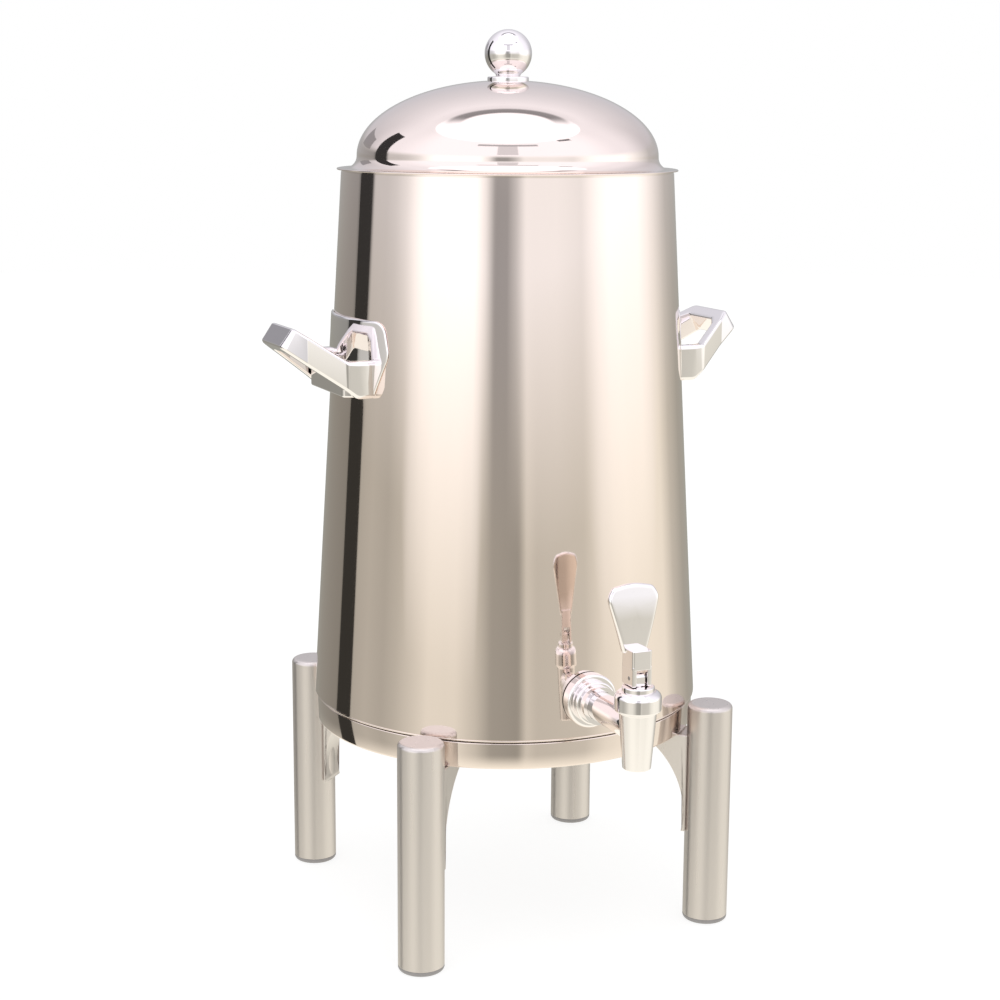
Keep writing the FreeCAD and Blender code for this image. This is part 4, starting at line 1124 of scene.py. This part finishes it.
def make_world(scene):
    """White to the camera, an even light to the matt finishes, and the studio's glow to the mirrors."""
    world = bpy.data.worlds.new("studio")
    scene.world = world
    world.use_nodes = True
    tree = world.node_tree
    tree.nodes.clear()
    place = tree.nodes.new("ShaderNodeTexCoord")
    glow, warmth = studio_glow(tree, place.outputs["Generated"])
    path = tree.nodes.new("ShaderNodeLightPath")
    plain = mixed(tree, path.outputs["Is Glossy Ray"], ROOM_LIGHT, glow)
    shown = mixed(tree, path.outputs["Is Camera Ray"], plain, 1.0)
    background = tree.nodes.new("ShaderNodeBackground")
    tint = blended(tree, path.outputs["Is Glossy Ray"], (1.0, 1.0, 1.0), warmth)
    tree.links.new(tint, background.inputs["Color"])
    tree.links.new(shown, background.inputs["Strength"])
    output = tree.nodes.new("ShaderNodeOutputWorld")
    tree.links.new(background.outputs[0], output.inputs["Surface"])


def make_floor():
    """A wide white disc that takes the urn's soft shadow."""
    turn = np.linspace(0, math.tau, MIDDLING, endpoint=False)
    points = FLOOR_RADIUS * np.stack([np.cos(turn), np.sin(turn), np.zeros_like(turn)], axis=1)
    mesh = bpy.data.meshes.new("floor")
    mesh.from_pydata(points.tolist(), [], [list(range(len(turn)))])
    floor = bpy.data.objects.new("floor", mesh)
    bpy.context.collection.objects.link(floor)
    floor.visible_glossy = False
    material = bpy.data.materials.new("floor_white")
    material.use_nodes = True
    tree = material.node_tree
    tree.nodes.clear()
    paper = tree.nodes.new("ShaderNodeBsdfDiffuse")
    paper.inputs["Color"].default_value = (FLOOR_GREY, FLOOR_GREY, FLOOR_GREY, 1)
    lift = tree.nodes.new("ShaderNodeEmission")
    lift.inputs["Strength"].default_value = FLOOR_GLOW
    both = tree.nodes.new("ShaderNodeAddShader")
    tree.links.new(paper.outputs[0], both.inputs[0])
    tree.links.new(lift.outputs[0], both.inputs[1])
    output = tree.nodes.new("ShaderNodeOutputMaterial")
    tree.links.new(both.outputs[0], output.inputs["Surface"])
    mesh.materials.append(material)


def make_lamp():
    """One broad soft light overhead, unseen in the mirrors."""
    lamp = bpy.data.lights.new("ceiling_panel", "AREA")
    lamp.shape = "RECTANGLE"
    lamp.size, lamp.size_y = LAMP_SIZE
    lamp.energy = LAMP_POWER
    panel = bpy.data.objects.new("ceiling_panel", lamp)
    panel.location = LAMP_PLACE
    panel.rotation_mode = "QUATERNION"
    panel.rotation_quaternion = (Vector(LAMP_AIM) - panel.location).to_track_quat("-Z", "Y")
    panel.visible_glossy = False
    bpy.context.collection.objects.link(panel)


def make_camera(scene):
    """Stand the camera at its distance and height, turned to the urn, then pitch and roll it."""
    studio = scene.urn_studio
    data = bpy.data.cameras.new("camera")
    data.lens = studio.lens
    data.sensor_width = FILM_WIDTH
    camera = bpy.data.objects.new("camera", data)
    bpy.context.collection.objects.link(camera)
    turn = -studio.camera_turn
    right = Vector((math.cos(turn), math.sin(turn), 0))
    ahead = Vector((-math.sin(turn), math.cos(turn), 0))
    place = ahead * -studio.camera_distance - right * studio.camera_side
    place.z = studio.camera_height
    look = ahead * math.cos(studio.camera_pitch) + Vector((0, 0, -math.sin(studio.camera_pitch)))
    up = right.cross(look)
    roll = studio.camera_roll
    tilted_up = up * math.cos(roll) - right * math.sin(roll)
    tilted_right = look.cross(tilted_up)
    basis = Matrix((tilted_right, tilted_up, -look)).transposed()
    camera.matrix_world = Matrix.Translation(place) @ basis.to_4x4()
    scene.camera = camera


class URN_PT_panel(bpy.types.Panel):
    bl_label = "Coffee Urn"
    bl_space_type = "VIEW_3D"
    bl_region_type = "UI"
    bl_category = "Urn"

    def draw(self, context):
        column = self.layout.column()
        for group in (getattr(context.scene, name) for name in GROUPS):
            for name in group.bl_rna.properties.keys():
                if name not in ("rna_type", "name"):
                    column.prop(group, name)
        for step in STEPS:
            column.operator(step.bl_idname)


STEPS = (URN_OT_finishes, URN_OT_stand, URN_OT_handles, URN_OT_lid, URN_OT_tap, URN_OT_lever, URN_OT_studio)
GROUPS = {
    "urn_finish": UrnFinish,
    "urn_stand": StandSizes,
    "urn_handles": HandleSizes,
    "urn_lid": LidSizes,
    "urn_tap": TapSizes,
    "urn_lever": LeverSizes,
    "urn_studio": UrnStudio,
}
CLASSES = (*GROUPS.values(), *STEPS, URN_PT_panel)


def register():
    for item in CLASSES:
        bpy.utils.register_class(item)
    for name, group in GROUPS.items():
        setattr(bpy.types.Scene, name, bpy.props.PointerProperty(type=group))


def unregister():
    for name in GROUPS:
        delattr(bpy.types.Scene, name)
    for item in reversed(CLASSES):
        bpy.utils.unregister_class(item)


def main():
    register()
    bpy.ops.urn.finishes()
    bpy.ops.urn.stand()
    bpy.ops.urn.handles()
    bpy.ops.urn.lid()
    bpy.ops.urn.tap()
    bpy.ops.urn.lever()
    bpy.ops.urn.studio()


if __name__ == "__main__":
    main()
